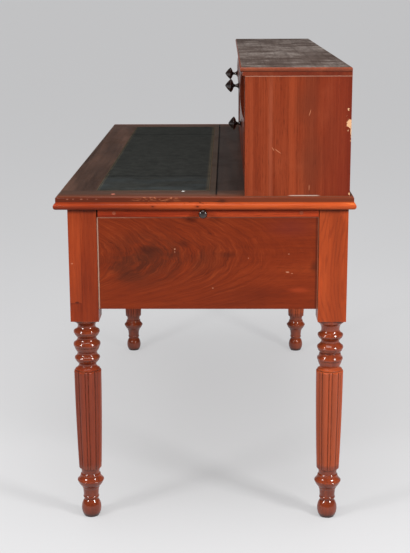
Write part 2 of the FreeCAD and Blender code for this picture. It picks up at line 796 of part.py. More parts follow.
# End slide: a board, a lipping across its outer end held by two pegs, stop pegs below, and a knob.
slide_y = ("slide_front_y", "slide_back_y")
slide_z = ("slide_under_z", "slide_top_z")
slide_tongue = board(
    "slide_tongue",
    ("lipping_in_x", "lipping_in_x + lipping_tongue"),
    slide_y,
    ("slide_mid_z - lipping_tongue_thickness / 2", "slide_mid_z + lipping_tongue_thickness / 2"),
)
slide_panel = fused(
    "slide_panel", board("slide_blank", ("slide_in_x", "lipping_in_x"), slide_y, slide_z), slide_tongue
)
slide_pegs = []
for name, sign in (("front", "+"), ("back", "-")):
    start = ("post_out_x - face_peg_length", f"slide_{name}_y {sign} face_peg_inset", "slide_mid_z")
    slide_pegs.append(peg(f"face_peg_{name}", "face_peg_size", "face_peg_length", start, (1, 0, 0)))
    start = ("stop_peg_x", f"slide_{name}_y {sign} stop_peg_inset", "slide_under_z - stop_peg_drop")
    length = "stop_peg_drop + slide_thickness"
    slide_pegs.append(peg(f"stop_peg_{name}", "stop_peg_size", length, start, (0, 0, 1)))
knob_place = ("post_out_x", "slide_mid_y - slide_knob_offset", "slide_mid_z")
slide_knob = turned("slide_right_knob", SLIDE_KNOB_SHARES, "slide_knob_size", "slide_knob_length")
placed(slide_knob, knob_place, (1, 0, 0))
lipping_blank = board("lipping_blank", ("lipping_in_x", "post_out_x"), slide_y, slide_z)
slide_pieces = (
    ("board", cut("slide_right_board", slide_panel, *slide_pegs)),
    ("lipping", cut("slide_right_lipping", lipping_blank, slide_tongue, *slide_pegs[::2])),
    ("pegs", group("slide_right_pegs", *slide_pegs)),
    ("knob", slide_knob),
)
for name, piece in slide_pieces:
    node(piece, mirrored(f"slide_left_{name}", piece))

# Turned knob of a drawer, with a pointed head on a thin neck. The first rows are the spigot in the front.
KNOB_SHARES = (
    (0.57, 0.0, 0),
    (0.57, 0.035, -0.16),
    (0.21, 0.25, -0.06),
    (0.22, 0.34, -0.10),
    (0.42, 0.415, 0.08),
    (0.98, 0.575, 0.2),
    (0.98, 0.605, 0.045),
    (0.05, 1.0, 0),
)


def drawer(name, kind, span_x, span_z, face_y, rear_y, knob_size, knob_z=None, bow=False):
    """A drawer that fills an opening: front, two sides, back, floor and knob, with the joints between them."""
    gap = f"{kind}_gap"
    left = f"{span_x[0]} + {gap}"
    right = f"{span_x[1]} - {gap}"
    under = f"{span_z[0]} + running_gap"
    top = f"{span_z[1]} - {gap}"
    front_back_y = f"case_front_y + {kind}_front" if bow else f"{face_y} + {kind}_front"
    side_top = f"{top} - {kind}_side_drop"
    lap_y = f"{front_back_y} - {kind}_lap"
    floor_z = f"{under} + {kind}_floor_rise"
    floor_top = f"{floor_z} + {kind}_floor"
    rear_low = f"({floor_top})"
    sides = [
        board(f"{name}_left_side", (left, f"{left} + {kind}_side"), (lap_y, rear_y), (under, side_top)),
        board(f"{name}_right_side", (f"{right} - {kind}_side", right), (lap_y, rear_y), (under, side_top)),
    ]
    rear = board(
        f"{name}_rear",
        (f"{left} + {kind}_side", f"{right} - {kind}_side"),
        (f"{rear_y} - {kind}_side", rear_y),
        (rear_low, side_top),
    )
    floor = board(
        f"{name}_floor",
        (f"{left} + {kind}_side - {kind}_groove", f"{right} - {kind}_side + {kind}_groove"),
        (f"{front_back_y} - {kind}_groove", rear_y),
        (floor_z, floor_top),
    )
    knob_x = f"(({left}) + ({right})) / 2"
    knob_height = knob_z or f"(({under}) + ({top})) / 2"
    spigot = peg(f"{name}_spigot", "spigot_size", "spigot_length", (knob_x, face_y, knob_height), (0, 1, 0))
    front = board(f"{name}_front_blank", (left, right), (face_y, front_back_y), (under, top))
    if bow:
        front = bowed(f"{name}_front_bowed", front, left, right, under, top)
    cut_sides = [cut(side.Name + "_grooved", side, floor) for side in sides]
    node(cut(f"{name}_front", front, *sides, floor, spigot))
    if kind == "drawer":
        node(group(f"{name}_sides", *cut_sides, rear), floor)
    else:
        node(group(f"{name}_box", *cut_sides, rear, floor))
    head = turned(f"{name}_knob_head", KNOB_SHARES, knob_size, "knob_length")
    placed(head, (knob_x, face_y, knob_height), (0, -1, 0))
    node(fused(f"{name}_knob", head, spigot))


def bowed(name, blank, left, right, under, top):
    """A drawer front whose face swells forward between its top and bottom edges."""
    height = f"(({top}) - ({under}))"
    radius = f"({height} * {height} / (8 * bow_rise) + bow_rise / 2)"
    middle_z = f"(({top}) + ({under})) / 2"
    swell = peg(
        f"{name}_swell",
        f"2 * {radius}",
        f"({right}) - ({left})",
        (left, f"bow_face_y + {radius}", middle_z),
        (1, 0, 0),
    )
    return common(name, blank, swell)


# Drawers of the stand, and of the case on the top.
side_z = ("side_floor_z", "bearer_under_z")
stand_drawers = (
    ("drawer_right", ("cheek_out_x", "post_in_x"), side_z),
    ("drawer_left", ("-post_in_x", "-cheek_out_x"), side_z),
    ("drawer_centre", ("-kneehole_x", "kneehole_x"), ("centre_floor_z", "bearer_under_z")),
)
for name, span_x, span_z in stand_drawers:
    drawer(name, "drawer", span_x, span_z, "drawer_face_y", "drawer_rear_y", "knob_size")
upper_z = ("shelf_top_z", "lid_under_z")
drawer(
    "small_right", "small", ("partition_x", "upright_in_x"), upper_z, "bow_face_y", "small_rear_y", "knob_size",
    bow=True,
)
drawer(
    "small_left", "small", ("-upright_in_x", "-partition_x"), upper_z, "bow_face_y", "small_rear_y", "knob_size",
    bow=True,
)
drawer(
    "wide_drawer", "small", ("-upright_in_x", "upright_in_x"), ("case_floor_z", "shelf_under_z"), "case_inner_y",
    "small_rear_y", "wide_knob_size", knob_z="case_floor_z + wide_knob_rise",
)

# Case: partition and shelf between the drawers, uprights beside them, and the base board.
inner_y = ("case_inner_y", "panel_front_y")
partition = board("case_partition", ("-partition_x", "partition_x"), inner_y, ("shelf_top_z - case_dado / 2", "lid_under_z"))
shelf_span = ("-upright_in_x - case_dado", "upright_in_x + case_dado")
shelf_board = board("shelf_board", shelf_span, inner_y, ("shelf_under_z", "shelf_top_z"))
node(partition, cut("case_shelf", shelf_board, partition))
upright_board = board(
    "upright_board", ("upright_in_x", "upright_out_x"), inner_y, ("case_floor_z - case_dado", "lid_under_z + case_dado")
)
upright = cut("case_upright_right", upright_board, shelf_board)
upright_left = mirrored("case_upright_left", upright)
node(upright, upright_left)
base_tongue = board(
    "base_tongue",
    ("case_in_x", "case_in_x + case_dado"),
    inner_y,
    (
        "writing_height + (case_base - base_tongue_thickness) / 2",
        "writing_height + (case_base + base_tongue_thickness) / 2",
    ),
)
base_board = fused(
    "base_board",
    board("base_middle", ("-case_in_x", "case_in_x"), inner_y, ("writing_height", "case_floor_z")),
    base_tongue,
    mirrored("base_tongue_left", base_tongue),
)
node(cut("case_base_board", base_board, upright, upright_left, *dowels))
back_panel = board(
    "case_back_panel",
    ("-case_in_x - dado_depth", "case_in_x + dado_depth"),
    ("panel_front_y", "panel_back_y"),
    ("writing_height", "lid_under_z"),
)
node(back_panel)

# End boards of the case, each with a tongue up into the lid.
lid_tongue = board(
    "lid_tongue",
    ("dowel_x - dado_depth / 2", "dowel_x + dado_depth / 2"),
    ("case_front_y + case_board", "panel_front_y - case_board"),
    ("lid_under_z", "lid_under_z + dado_depth"),
)
end_board = fused(
    "end_board",
    board("end_board_blank", ("case_in_x", "case_x"), ("case_front_y", "case_back_y"), ("writing_height", "lid_under_z")),
    lid_tongue,
)
case_end = cut("case_end_right", end_board, base_tongue, back_panel, *dowels)
node(case_end, mirrored("case_end_left", case_end))

# Lid of the case: a rounded bead over a narrower fillet, along the front and both ends.
lid_fillet = board(
    "lid_fillet",
    ("-case_x - lid_fillet_end", "case_x + lid_fillet_end"),
    ("case_front_y - lid_fillet_front", "case_back_y"),
    ("lid_under_z", "lid_top_z - lid_bead_round"),
)
lid_bead = board(
    "lid_bead",
    ("-case_x - lid_end_reach", "case_x + lid_end_reach"),
    ("case_front_y - lid_front_reach", "case_back_y"),
    ("lid_bead_z", "lid_top_z"),
)
lid_bead = rounded("lid_bead_round", lid_bead, number("lid_bead_round"), (number("lid_bead_z"), number("lid_top_z")))
lid_whole = fused("lid_whole", lid_fillet, lid_bead)
node(
    cut(
        "case_lid", lid_whole, lid_tongue, mirrored("lid_tongue_left", lid_tongue), upright_board,
        mirrored("upright_board_left", upright_board),
    )
)

doc.recompute()
for piece in doc.Objects:
    if "Invalid" in piece.State or "Error" in piece.State:
        raise RuntimeError(f"{piece.Name} failed: {piece.State}")
for piece in nodes:
    if piece.Shape.isNull() or not piece.Shape.isValid() or not piece.Shape.Solids:
        raise RuntimeError(f"{piece.Name} has no valid solid")
for piece in nodes:
    piece.Shape.exportStep(f"parts/{piece.Label}.step")
print(len(nodes), "pieces written")
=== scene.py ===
import bmesh
import bpy
import math
from mathutils import Matrix, Vector


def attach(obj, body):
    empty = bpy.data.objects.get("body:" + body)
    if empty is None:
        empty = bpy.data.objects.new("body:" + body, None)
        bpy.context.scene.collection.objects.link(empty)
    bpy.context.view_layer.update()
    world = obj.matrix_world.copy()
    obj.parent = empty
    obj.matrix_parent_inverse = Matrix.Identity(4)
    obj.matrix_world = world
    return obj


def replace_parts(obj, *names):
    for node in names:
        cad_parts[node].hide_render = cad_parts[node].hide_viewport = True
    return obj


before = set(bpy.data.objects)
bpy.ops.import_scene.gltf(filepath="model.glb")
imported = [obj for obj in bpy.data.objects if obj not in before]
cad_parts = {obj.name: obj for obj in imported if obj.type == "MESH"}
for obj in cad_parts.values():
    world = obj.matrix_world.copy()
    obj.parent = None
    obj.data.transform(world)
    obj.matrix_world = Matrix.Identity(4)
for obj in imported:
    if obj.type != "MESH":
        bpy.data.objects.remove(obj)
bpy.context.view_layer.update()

room = bpy.context.scene
room.view_settings.view_transform = "Standard"

lens = bpy.data.cameras.new("camera")
lens.sensor_fit = "VERTICAL"
lens.sensor_height = 36
lens.lens = 78.73
camera = bpy.data.objects.new("camera", lens)
room.collection.objects.link(camera)
standpoint = (3.2814, 0.04897, 1.20242)
turned, lowered, tipped = 0.01869, 0.23599, -0.00446
camera.matrix_world = (
    Matrix.Translation(standpoint)
    @ Matrix.Rotation(math.pi / 2 + turned, 4, "Z")
    @ Matrix.Rotation(math.pi / 2 - lowered, 4, "X")
    @ Matrix.Rotation(tipped, 4, "Z")
)
room.camera = camera


def lamp(name, place, target, width, height, watts):
    """A soft rectangular lamp that faces a point."""
    light = bpy.data.lights.new(name, "AREA")
    light.shape = "RECTANGLE"
    light.size, light.size_y, light.energy = width, height, watts
    stand = bpy.data.objects.new(name, light)
    room.collection.objects.link(stand)
    aim = (Vector(target) - Vector(place)).to_track_quat("-Z", "Y").to_matrix().to_4x4()
    stand.matrix_world = Matrix.Translation(place) @ aim


lamp("lamp_left", (1.9, -1.7, 1.5), (0.6, -0.1, 0.45), 0.45, 0.6, 24)
lamp("lamp_right", (1.9, 1.65, 1.5), (0.6, 0.1, 0.45), 0.45, 0.6, 38)
lamp("lamp_above", (0.9, -0.2, 4.2), (0.3, 0, 0.4), 2.6, 2.6, 80)


def watched(tree):
    """One where the camera, a polished surface or glass looks, nought for the light on the desk."""
    path = tree.nodes.new("ShaderNodeLightPath")
    rays = path.outputs["Is Camera Ray"]
    for kind in ("Is Glossy Ray", "Is Transmission Ray"):
        most = tree.nodes.new("ShaderNodeMath")
        most.operation = "MAXIMUM"
        tree.links.new(rays, most.inputs[0])
        tree.links.new(path.outputs[kind], most.inputs[1])
        rays = most.outputs[0]
    return rays


def ground(reach):
    """The floor, one wide flat sheet under the feet."""
    mesh = bpy.data.meshes.new("floor")
    sheet = bmesh.new()
    bmesh.ops.create_grid(sheet, x_segments=1, y_segments=1, size=reach)
    sheet.to_mesh(mesh)
    sheet.free()
    floor = bpy.data.objects.new("floor", mesh)
    room.collection.objects.link(floor)
    paint = bpy.data.materials.new("floor_paint")
    paint.use_nodes = True
    shader = paint.node_tree.nodes["Principled BSDF"]
    shader.inputs["Base Color"].default_value = (0.3, 0.3, 0.303, 1)
    shader.inputs["Emission Color"].default_value = (0.4, 0.4, 0.405, 1)
    paint.node_tree.links.new(watched(paint.node_tree), shader.inputs["Emission Strength"])
    shader.inputs["Roughness"].default_value = 0.9
    shader.inputs["Specular IOR Level"].default_value = 0.1
    mesh.materials.append(paint)


ground(400)

sky = bpy.data.worlds.new("room_light")
room.world = sky
sky.use_nodes = True
air = sky.node_tree
for spare in list(air.nodes):
    air.nodes.remove(spare)
facing = air.nodes.new("ShaderNodeTexCoord")
height = air.nodes.new("ShaderNodeSeparateXYZ")
air.links.new(facing.outputs["Generated"], height.inputs[0])


def graded(*stops):
    """Greys laid out by how high one looks, from level at 0 to straight up at 1."""
    band = air.nodes.new("ShaderNodeValToRGB")
    steps = band.color_ramp.elements
    while len(steps) < len(stops):
        steps.new(1)
    for step, (position, grey) in zip(steps, stops):
        step.position, step.color = position, grey + (1,)
    air.links.new(height.outputs["Z"], band.inputs["Fac"])
    return band.outputs["Color"]


lit = air.nodes.new("ShaderNodeBackground")
glow = graded((0.25, (0.22, 0.22, 0.222)), (0.5, (0.28, 0.28, 0.283)), (0.9, (0.7, 0.7, 0.71)))
air.links.new(glow, lit.inputs["Color"])
# The pale backdrop, which ends a little above eye level for what the polish mirrors.
wall = air.nodes.new("ShaderNodeMix")
wall.data_type = "RGBA"
straight = air.nodes.new("ShaderNodeLightPath")
air.links.new(straight.outputs["Is Camera Ray"], wall.inputs[0])
air.links.new(graded((0.03, (0.46, 0.46, 0.465)), (0.12, (0.05, 0.05, 0.051))), wall.inputs[6])
wall.inputs[7].default_value = (0.505, 0.505, 0.512, 1)
seen = air.nodes.new("ShaderNodeBackground")
air.links.new(wall.outputs[2], seen.inputs["Color"])
either = air.nodes.new("ShaderNodeMixShader")
air.links.new(watched(air), either.inputs[0])
air.links.new(lit.outputs[0], either.inputs[1])
air.links.new(seen.outputs[0], either.inputs[2])
output = air.nodes.new("ShaderNodeOutputWorld")
air.links.new(either.outputs[0], output.inputs[0])


# Legs. Each leg is turned, reeded and left square at the top from one piece of Cuban mahogany, stained
# and French polished, with shade painted darker into the necks between the rings and between the reeds.
def tint(*seen_on_screen):
    """A colour of red, green and blue as seen on a screen, each from 0 to 255."""
    darkest = 10.3
    return tuple(v / 255 / 12.92 if v < darkest else ((v / 255 + 0.055) / 1.055) ** 2.4 for v in seen_on_screen) + (1,)


class Finish:
    """One finish, built up in layers of colour and relief on the desk's own coordinates."""

    def __init__(self, name, **surface):
        self.material = bpy.data.materials.new(name)
        self.material.use_nodes = True
        self.tree = self.material.node_tree
        self.shader = self.tree.nodes["Principled BSDF"]
        for socket, value in surface.items():
            self.shader.inputs[socket.replace("_", " ")].default_value = value
        self.places = self.node("TexCoord").outputs["Object"]
        self.rough = self.shader.inputs["Roughness"].default_value
        self.colour = self.normal = None

    def node(self, kind, **settings):
        """A new node of one kind with its settings."""
        made = self.tree.nodes.new("ShaderNode" + kind)
        for setting, value in settings.items():
            setattr(made, setting, value)
        return made

    def feed(self, socket, value):
        """Give a socket a value or another node's output."""
        if isinstance(value, bpy.types.NodeSocket):
            self.tree.links.new(value, socket)
        elif value is not None:
            socket.default_value = value

    def sum(self, kind, *values):
        """The result of one arithmetic step."""
        step = self.node("Math", operation=kind)
        for socket, value in zip(step.inputs, values):
            self.feed(socket, value)
        return step.outputs[0]

    def both(self, *masks):
        """Where all the masks overlap: their product."""
        whole = masks[0]
        for mask in masks[1:]:
            whole = self.sum("MULTIPLY", whole, mask)
        return whole

    def mingle(self, *parts):
        """Values added up, each with its share."""
        shares = [self.sum("MULTIPLY", value, share) for value, share in parts]
        whole = shares[0]
        for share in shares[1:]:
            whole = self.sum("ADD", whole, share)
        return whole

    def apart(self, value, middle):
        """How far a value is from a middle one, on either side."""
        return self.sum("ABSOLUTE", self.sum("SUBTRACT", value, middle))

    def along(self, axis):
        """The place along one axis of the desk, in metres."""
        split = self.node("SeparateXYZ")
        self.feed(split.inputs[0], self.places)
        return split.outputs["XYZ".index(axis)]

    def flat(self, across, up):
        """Coordinates made of two values."""
        pair = self.node("CombineXYZ")
        self.feed(pair.inputs[0], across)
        self.feed(pair.inputs[1], up)
        return pair.outputs[0]

    def spread(self, scale, shift=(0, 0, 0), turn=(0, 0, 0), places=None):
        """The coordinates stretched, turned and shifted."""
        mapping = self.node("Mapping")
        self.feed(mapping.inputs["Vector"], places or self.places)
        mapping.inputs["Scale"].default_value = scale
        mapping.inputs["Location"].default_value = shift
        mapping.inputs["Rotation"].default_value = turn
        return mapping.outputs[0]

    def cloud(self, scale, detail=3, rough=0.5, bend=0, shift=(0, 0, 0), places=None):
        """Soft irregular patches about a middle of one half, the smaller the higher the scale."""
        noise = self.node("TexNoise")
        self.feed(noise.inputs["Vector"], self.spread(scale, shift, places=places))
        for socket, value in zip(("Scale", "Detail", "Roughness", "Distortion"), (1, detail, rough, bend)):
            noise.inputs[socket].default_value = value
        return noise.outputs[0]

    def rise(self, value, low, high, start=0, end=1):
        """A soft step from one value to another between two limits."""
        step = self.node("MapRange", interpolation_type="SMOOTHSTEP")
        for socket, number in zip(step.inputs, (value, low, high, start, end)):
            self.feed(socket, number)
        return step.outputs[0]

    def past(self, axis, low, high, start=0, end=1):
        """A soft step along one axis of the desk."""
        return self.rise(self.along(axis), low, high, start, end)

    def between(self, axis, low, high, soft=0.001):
        """A band between two planes."""
        place = self.along(axis)
        opened = self.rise(place, low - soft, low + soft)
        return self.both(opened, self.rise(place, high - soft, high + soft, 1, 0))

    def distance(self, places):
        """How far coordinates are from nought."""
        reach = self.node("VectorMath", operation="LENGTH")
        self.feed(reach.inputs[0], places)
        return reach.outputs["Value"]

    def spot(self, middle, size, soft=0.5):
        """A round or long patch about a point."""
        places = self.spread(tuple(1 / v for v in size), tuple(-m / v for m, v in zip(middle, size)))
        return self.rise(self.distance(places), 1 - soft, 1, 1, 0)

    def arris(self, reach):
        """The edges of a piece, a mask for worn polish and painted highlights along them."""
        least_turn, full_turn = 0.03, 0.3
        round_over = self.node("Bevel", samples=6)
        round_over.inputs["Radius"].default_value = reach
        turn = self.node("VectorMath", operation="DOT_PRODUCT")
        self.feed(turn.inputs[0], round_over.outputs[0])
        self.feed(turn.inputs[1], self.node("NewGeometry").outputs["Normal"])
        return self.rise(turn.outputs["Value"], 1 - full_turn, 1 - least_turn, 1, 0)

    def painted_hollow_shade(self, reach, low=0.35, high=0.9):
        """The hollows of a piece, a mask for shade painted into them."""
        shade = self.node("AmbientOcclusion", samples=6)
        shade.inputs["Distance"].default_value = reach
        return self.rise(shade.outputs["AO"], low, high, 1, 0)

    def ramp(self, value, *stops):
        """Colours laid out along a value."""
        band = self.node("ValToRGB")
        self.feed(band.inputs[0], value)
        steps = band.color_ramp.elements
        while len(steps) < len(stops):
            steps.new(1)
        for step, (position, colour) in zip(steps, stops):
            step.position, step.color = position, colour
        return band.outputs[0]

    def lay(self, mask, colour, share=1):
        """Lay a colour over the ones below where a mask lets it, at its share of full strength."""
        mix = self.node("Mix", data_type="RGBA")
        self.feed(mix.inputs[0], mask if share == 1 else self.both(mask, share))
        self.feed(mix.inputs[6], self.colour)
        self.feed(mix.inputs[7], colour)
        self.colour = mix.outputs[2]

    def dull(self, mask, rough):
        """Let the gloss go where a mask says."""
        self.rough = self.sum("ADD", self.rough, self.both(mask, self.sum("SUBTRACT", rough, self.rough)))

    def relief(self, height, depth, strength):
        """Raise the surface by a height, in metres at full strength."""
        bump = self.node("Bump")
        bump.inputs["Strength"].default_value = strength
        bump.inputs["Distance"].default_value = depth
        self.feed(bump.inputs["Height"], height)
        self.feed(bump.inputs["Normal"], self.normal)
        self.normal = bump.outputs[0]

    def coat(self, *pieces):
        """Finish pieces with it; those of the frame go by their names."""
        self.feed(self.shader.inputs["Base Color"], self.colour)
        self.feed(self.shader.inputs["Roughness"], self.rough)
        self.feed(self.shader.inputs["Normal"], self.normal)
        for piece in pieces:
            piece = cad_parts[piece] if isinstance(piece, str) else piece
            if piece.material_slots:
                for place in piece.material_slots:
                    place.material = self.material
            else:
                piece.data.materials.append(self.material)


def timber(name, grain, dark, middle, light, shift=(0, 0, 0), broad=1.0, pores=0.4, **surface):
    """Wood with its grain along one axis: broad streaks, fine lines and short pores."""
    wood = Finish(name, **surface)

    def figure(length, width, detail, rough, bend):
        scale = tuple(length if axis == grain else width for axis in "xyz")
        return wood.cloud(scale, detail, rough, bend, shift)

    streaks = figure(1.3, 16 * broad, 4, 0.55, 0.9)
    lines = figure(5, 130, 3, 0.6, 0.2)
    patches = figure(2.2, 5, 2, 0.5, 0)
    wood.tone = wood.mingle((streaks, 0.55), (lines, 0.25), (patches, 0.2))
    wood.colour = wood.ramp(wood.tone, (0.36, dark), (0.5, middle), (0.64, light))
    ticks = wood.rise(figure(45, 1100, 2, 0.5, 0), 0.56, 0.7)
    wood.lay(ticks, tuple(0.45 * v for v in dark[:3]) + (1,), pores)
    wood.relief(ticks, 0.00012, 0.5)
    return wood


polish = {"Roughness": 0.4, "Specular_IOR_Level": 0.05, "Coat_Weight": 0.2, "Coat_Roughness": 0.08}
gloss = {
    "Roughness": 0.35, "Specular_IOR_Level": 0.05, "Coat_Weight": 0.5, "Coat_Roughness": 0.06, "Coat_IOR": 1.62,
}
post_foot, post_head = 0.476, 0.74
for end in ("front", "back"):
    for side in ("left", "right"):
        seed = (3.1 if side == "left" else 0.0, 1.7 if end == "back" else 0.0, 0.4)
        name = f"leg_mahogany_{end}_{side}"
        wood = timber(name, "z", tint(100, 32, 13), tint(148, 54, 21), tint(180, 76, 34), seed, **gloss)
        post = wood.between("Z", post_foot, post_head)
        if end == "front":
            # A long patch let into the outer corner of the post, lighter than the rest.
            patch_foot = 0.519
            let_in = wood.between("Z", patch_foot, post_head)
            wood.lay(wood.both(wood.between("Y", -0.31, -0.272, 0.0006), let_in), tint(190, 80, 38), 0.25)
            wood.lay(wood.both(wood.between("Y", -0.2724, -0.2712, 0.0004), let_in), tint(80, 26, 12), 0.3)
            joint = wood.both(wood.between("Y", -0.298, -0.275), wood.between("Z", 0.5165, patch_foot, 0.0005))
            wood.lay(joint, tint(70, 22, 12), 0.35)
            wood.lay(wood.spot((0.693, -0.283, 0.5205), (0.02, 0.0065, 0.003), 0.6), tint(50, 18, 12), 0.7)
            wood.lay(wood.both(wood.between("Y", -0.266, -0.238, 0.006), post), tint(116, 40, 18), 0.35)
            wood.lay(wood.spot((0.693, -0.292, 0.609), (0.02, 0.003, 0.002)), tint(214, 140, 108), 0.6)
        else:
            # Year rings that bow up the post, broken and faint.
            wood.lay(post, tint(190, 82, 38), 0.35)
            climb = wood.sum("SUBTRACT", wood.along("Z"), 0.6)
            sweep = wood.sum("ADD", wood.along("Y"), wood.both(climb, climb, -1.1))
            rings = wood.sum("SINE", wood.mingle((sweep, 700), (wood.cloud((30, 30, 5), 4, 0.6), 22)))
            faint = wood.rise(wood.cloud((40, 40, 14)), 0.4, 0.6)
            wood.lay(wood.both(wood.rise(rings, 0.1, 0.95), faint, post), tint(126, 46, 22), 0.45)
            warm = wood.rise(wood.cloud((24, 24, 9), shift=(0.2, 0.3, 0)), 0.5, 0.62)
            wood.lay(wood.both(warm, post), tint(206, 84, 38), 0.35)
        shaft = wood.between("Z", 0.13, 0.368, 0.004)
        wood.lay(shaft, tint(136, 64, 42) if end == "front" else tint(214, 106, 60), 0.35)
        turning = wood.both(wood.past("Z", post_foot, post_foot - 0.002), wood.sum("SUBTRACT", 1, shaft))
        wood.lay(turning, tint(112, 62, 40), 0.3)
        # Painted shade in the necks between the rings, and darker painted shade in the grooves between the reeds.
        wood.lay(wood.painted_hollow_shade(0.014, 0.4), tint(52, 18, 10))
        wood.lay(wood.both(shaft, wood.painted_hollow_shade(0.004, 0.35, 0.85)), tint(34, 12, 8))
        # Worn polish and painted highlights along the crests and edges.
        wear_and_sheen = wood.rise(wood.cloud((60, 60, 60), 2), 0.4, 0.6)
        wood.lay(wood.both(wood.arris(0.002), wear_and_sheen), tint(214, 122, 76), 0.5)
        # The rings shine most, the reeds less and the square post least.
        bright = wood.sum("SUBTRACT", wood.past("Z", 0.472, 0.478, 0.75, 0.2), wood.both(shaft, 0.35))
        wood.feed(wood.shader.inputs["Coat Weight"], bright)
        wood.dull(wood.cloud((40, 40, 40)), 0.42)
        wood.coat(f"leg_{end}_{side}")


# End aprons. Deep boards between the posts, faced with a curl veneer laid on its side: its feathers
# spread from a line at mid height and run out into straight grain towards the back post.
def ease(name, reach, angle=0.6):
    """Take the sharpness off the edges of a piece that comes as loose faces."""
    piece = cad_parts[name]
    joined = piece.modifiers.new("joined", "WELD")
    joined.merge_threshold = 0.00001
    eased = piece.modifiers.new("eased", "BEVEL")
    eased.width, eased.segments = reach, 2
    eased.limit_method, eased.angle_limit = "ANGLE", angle
    eased.harden_normals = True


for side, word in ((1, "right"), (-1, "left")):
    name = f"curl_veneer_{word}"
    curl = timber(name, "y", tint(100, 34, 13), tint(128, 45, 16), tint(148, 58, 23), (0.3 * side, 0, 0), **polish)

    def patch(place, level, long, high, soft):
        """A patch on the outer face of the apron."""
        return curl.spot((0.69 * side, place, level), (0.3, long, high), soft)

    across = curl.along("Y")
    spine = curl.sum("SUBTRACT", curl.along("Z"), 0.622)
    steep = curl.rise(spine, -0.015, 0.015, 20, 13)
    wander = curl.cloud((8, 8, 8), 4, 0.65, 0.4, (0.4, 0.1, 0))
    bow = curl.sum("ADD", curl.sum("ADD", across, curl.both(spine, spine, steep)), curl.both(wander, 0.065))
    trail = curl.flat(curl.both(bow, 75), curl.both(spine, 16))
    feathers = curl.cloud((1, 1, 1), 4, 0.6, 0.9, places=trail)
    fine = curl.cloud((4.5, 2.2, 1), 3, 0.6, 0.2, places=trail)
    figure = curl.ramp(
        curl.mingle((feathers, 0.5), (fine, 0.5)),
        (0.36, tint(90, 32, 13)), (0.46, tint(118, 42, 16)), (0.55, tint(134, 50, 19)), (0.68, tint(158, 68, 30)),
    )
    fade = curl.both(curl.rise(across, 0.03, 0.2, 1, 0.2), curl.past("Z", 0.505, 0.57, 0.4, 1))
    curl.lay(fade, figure, 0.8)
    # Clouds of dark old polish about the heart of the curl, and lighter streaks at its back end.
    broken = curl.cloud((0.55, 0.75, 1), 5, 0.7, 1.2, (0.3, 0, 0), trail)
    wide = curl.cloud((14, 10, 17), 4, 0.6, 0.8, (0, 0.3, 0))
    blotch = curl.rise(curl.mingle((broken, 0.6), (wide, 0.4)), 0.4, 0.62)
    curl.lay(curl.both(patch(-0.155, 0.61, 0.12, 0.08, 1), curl.rise(wide, 0.36, 0.56)), tint(76, 40, 24), 0.4)
    curl.lay(patch(0.19, 0.69, 0.08, 0.035, 1), tint(108, 42, 38), 0.4)
    curl.lay(patch(0.207, 0.548, 0.035, 0.009, 1), tint(176, 68, 34), 0.5)
    curl.lay(curl.both(blotch, patch(-0.09, 0.626, 0.2, 0.085, 0.95)), tint(72, 34, 20), 0.7)
    curl.lay(curl.both(blotch, patch(-0.165, 0.592, 0.1, 0.06, 0.95)), tint(74, 34, 20), 0.55)
    for place, level, long, high, share in (
        (-0.126, 0.64, 0.035, 0.014, 0.55), (-0.045, 0.652, 0.02, 0.013, 0.5),
        (0.05, 0.628, 0.03, 0.011, 0.45), (0.241, 0.601, 0.014, 0.02, 0.6),
    ):
        curl.lay(patch(place, level, long, high, 1), tint(60, 24, 14), share)
    # The joints to the posts and the slide: a dark line at the back post, and painted highlights on the edges along
    # them; then small pale knocks.
    curl.lay(curl.between("Y", -0.24, -0.233, 0.0006), tint(226, 184, 160), 0.9)
    curl.lay(curl.between("Y", 0.2425, 0.2465), tint(60, 22, 12), 0.5)
    curl.lay(curl.between("Y", 0.2472, 0.2488, 0.0003), tint(196, 128, 100), 0.7)
    lit_top_edge = curl.both(curl.between("Z", 0.7105, 0.7135, 0.0005), curl.rise(across, -0.19, -0.1, 0.8, 0.25))
    curl.lay(lit_top_edge, tint(196, 140, 118))
    for place, level, long, high, share in (
        (-0.0655, 0.641, 0.0022, 0.0022, 0.8), (-0.0655, 0.6345, 0.0014, 0.003, 0.4),
        (0.182, 0.589, 0.005, 0.002, 0.7), (0.192, 0.586, 0.003, 0.0012, 0.5),
        (0.0177, 0.5527, 0.0022, 0.0022, 0.45), (0.1845, 0.6297, 0.0025, 0.0018, 0.4),
        (0.0962, 0.6205, 0.0016, 0.0016, 0.45),
    ):
        curl.lay(patch(place, level, long, high, 0.6), tint(214, 150, 116), share)
    inner = curl.rise(curl.both(curl.along("X"), side), 0.671, 0.6705)
    curl.lay(inner, tint(150, 92, 58))
    curl.dull(inner, 0.8)
    curl.coat(f"end_apron_{word}")
    ease(f"end_apron_{word}", 0.0008)

# Rails, back apron and cheeks. Straight-grained mahogany, tenoned into the posts and glued; the back
# apron closes the stand, and the two cheeks part the kneehole from the side drawers.
stand = timber("stand_mahogany", "x", tint(100, 33, 14), tint(142, 50, 20), tint(170, 70, 30), **polish)
hidden = stand.between("Y", -0.271, 0.2905, 0.0003)
stand.lay(hidden, tint(146, 92, 60))
stand.dull(hidden, 0.8)
# Worn polish and painted highlights on the edges.
stand.lay(stand.arris(0.0015), tint(205, 120, 78), 0.4)
for name in ("back_apron", "front_top_rail", "centre_drawer_rail", "bottom_rails"):
    stand.coat(name)
    ease(name, 0.0007)
cheek = timber("cheek_mahogany", "y", tint(96, 34, 18), tint(134, 50, 25), tint(158, 66, 34), **polish)
cheek.coat("cheek_left", "cheek_right")

# Runners, slide bearers and glue blocks. Plain oak inside the stand, sawn, planed and left bare, with
# shade painted darker into its corners.
oak = timber(
    "bare_oak", "y", tint(116, 84, 54), tint(158, 120, 82), tint(184, 148, 106), (0.7, 0, 0), 1.3, 0.6, Roughness=0.72
)
oak.lay(oak.painted_hollow_shade(0.03, 0.3), tint(84, 62, 44), 0.6)
oak.coat("drawer_runners", "slide_bearers", "glue_blocks")

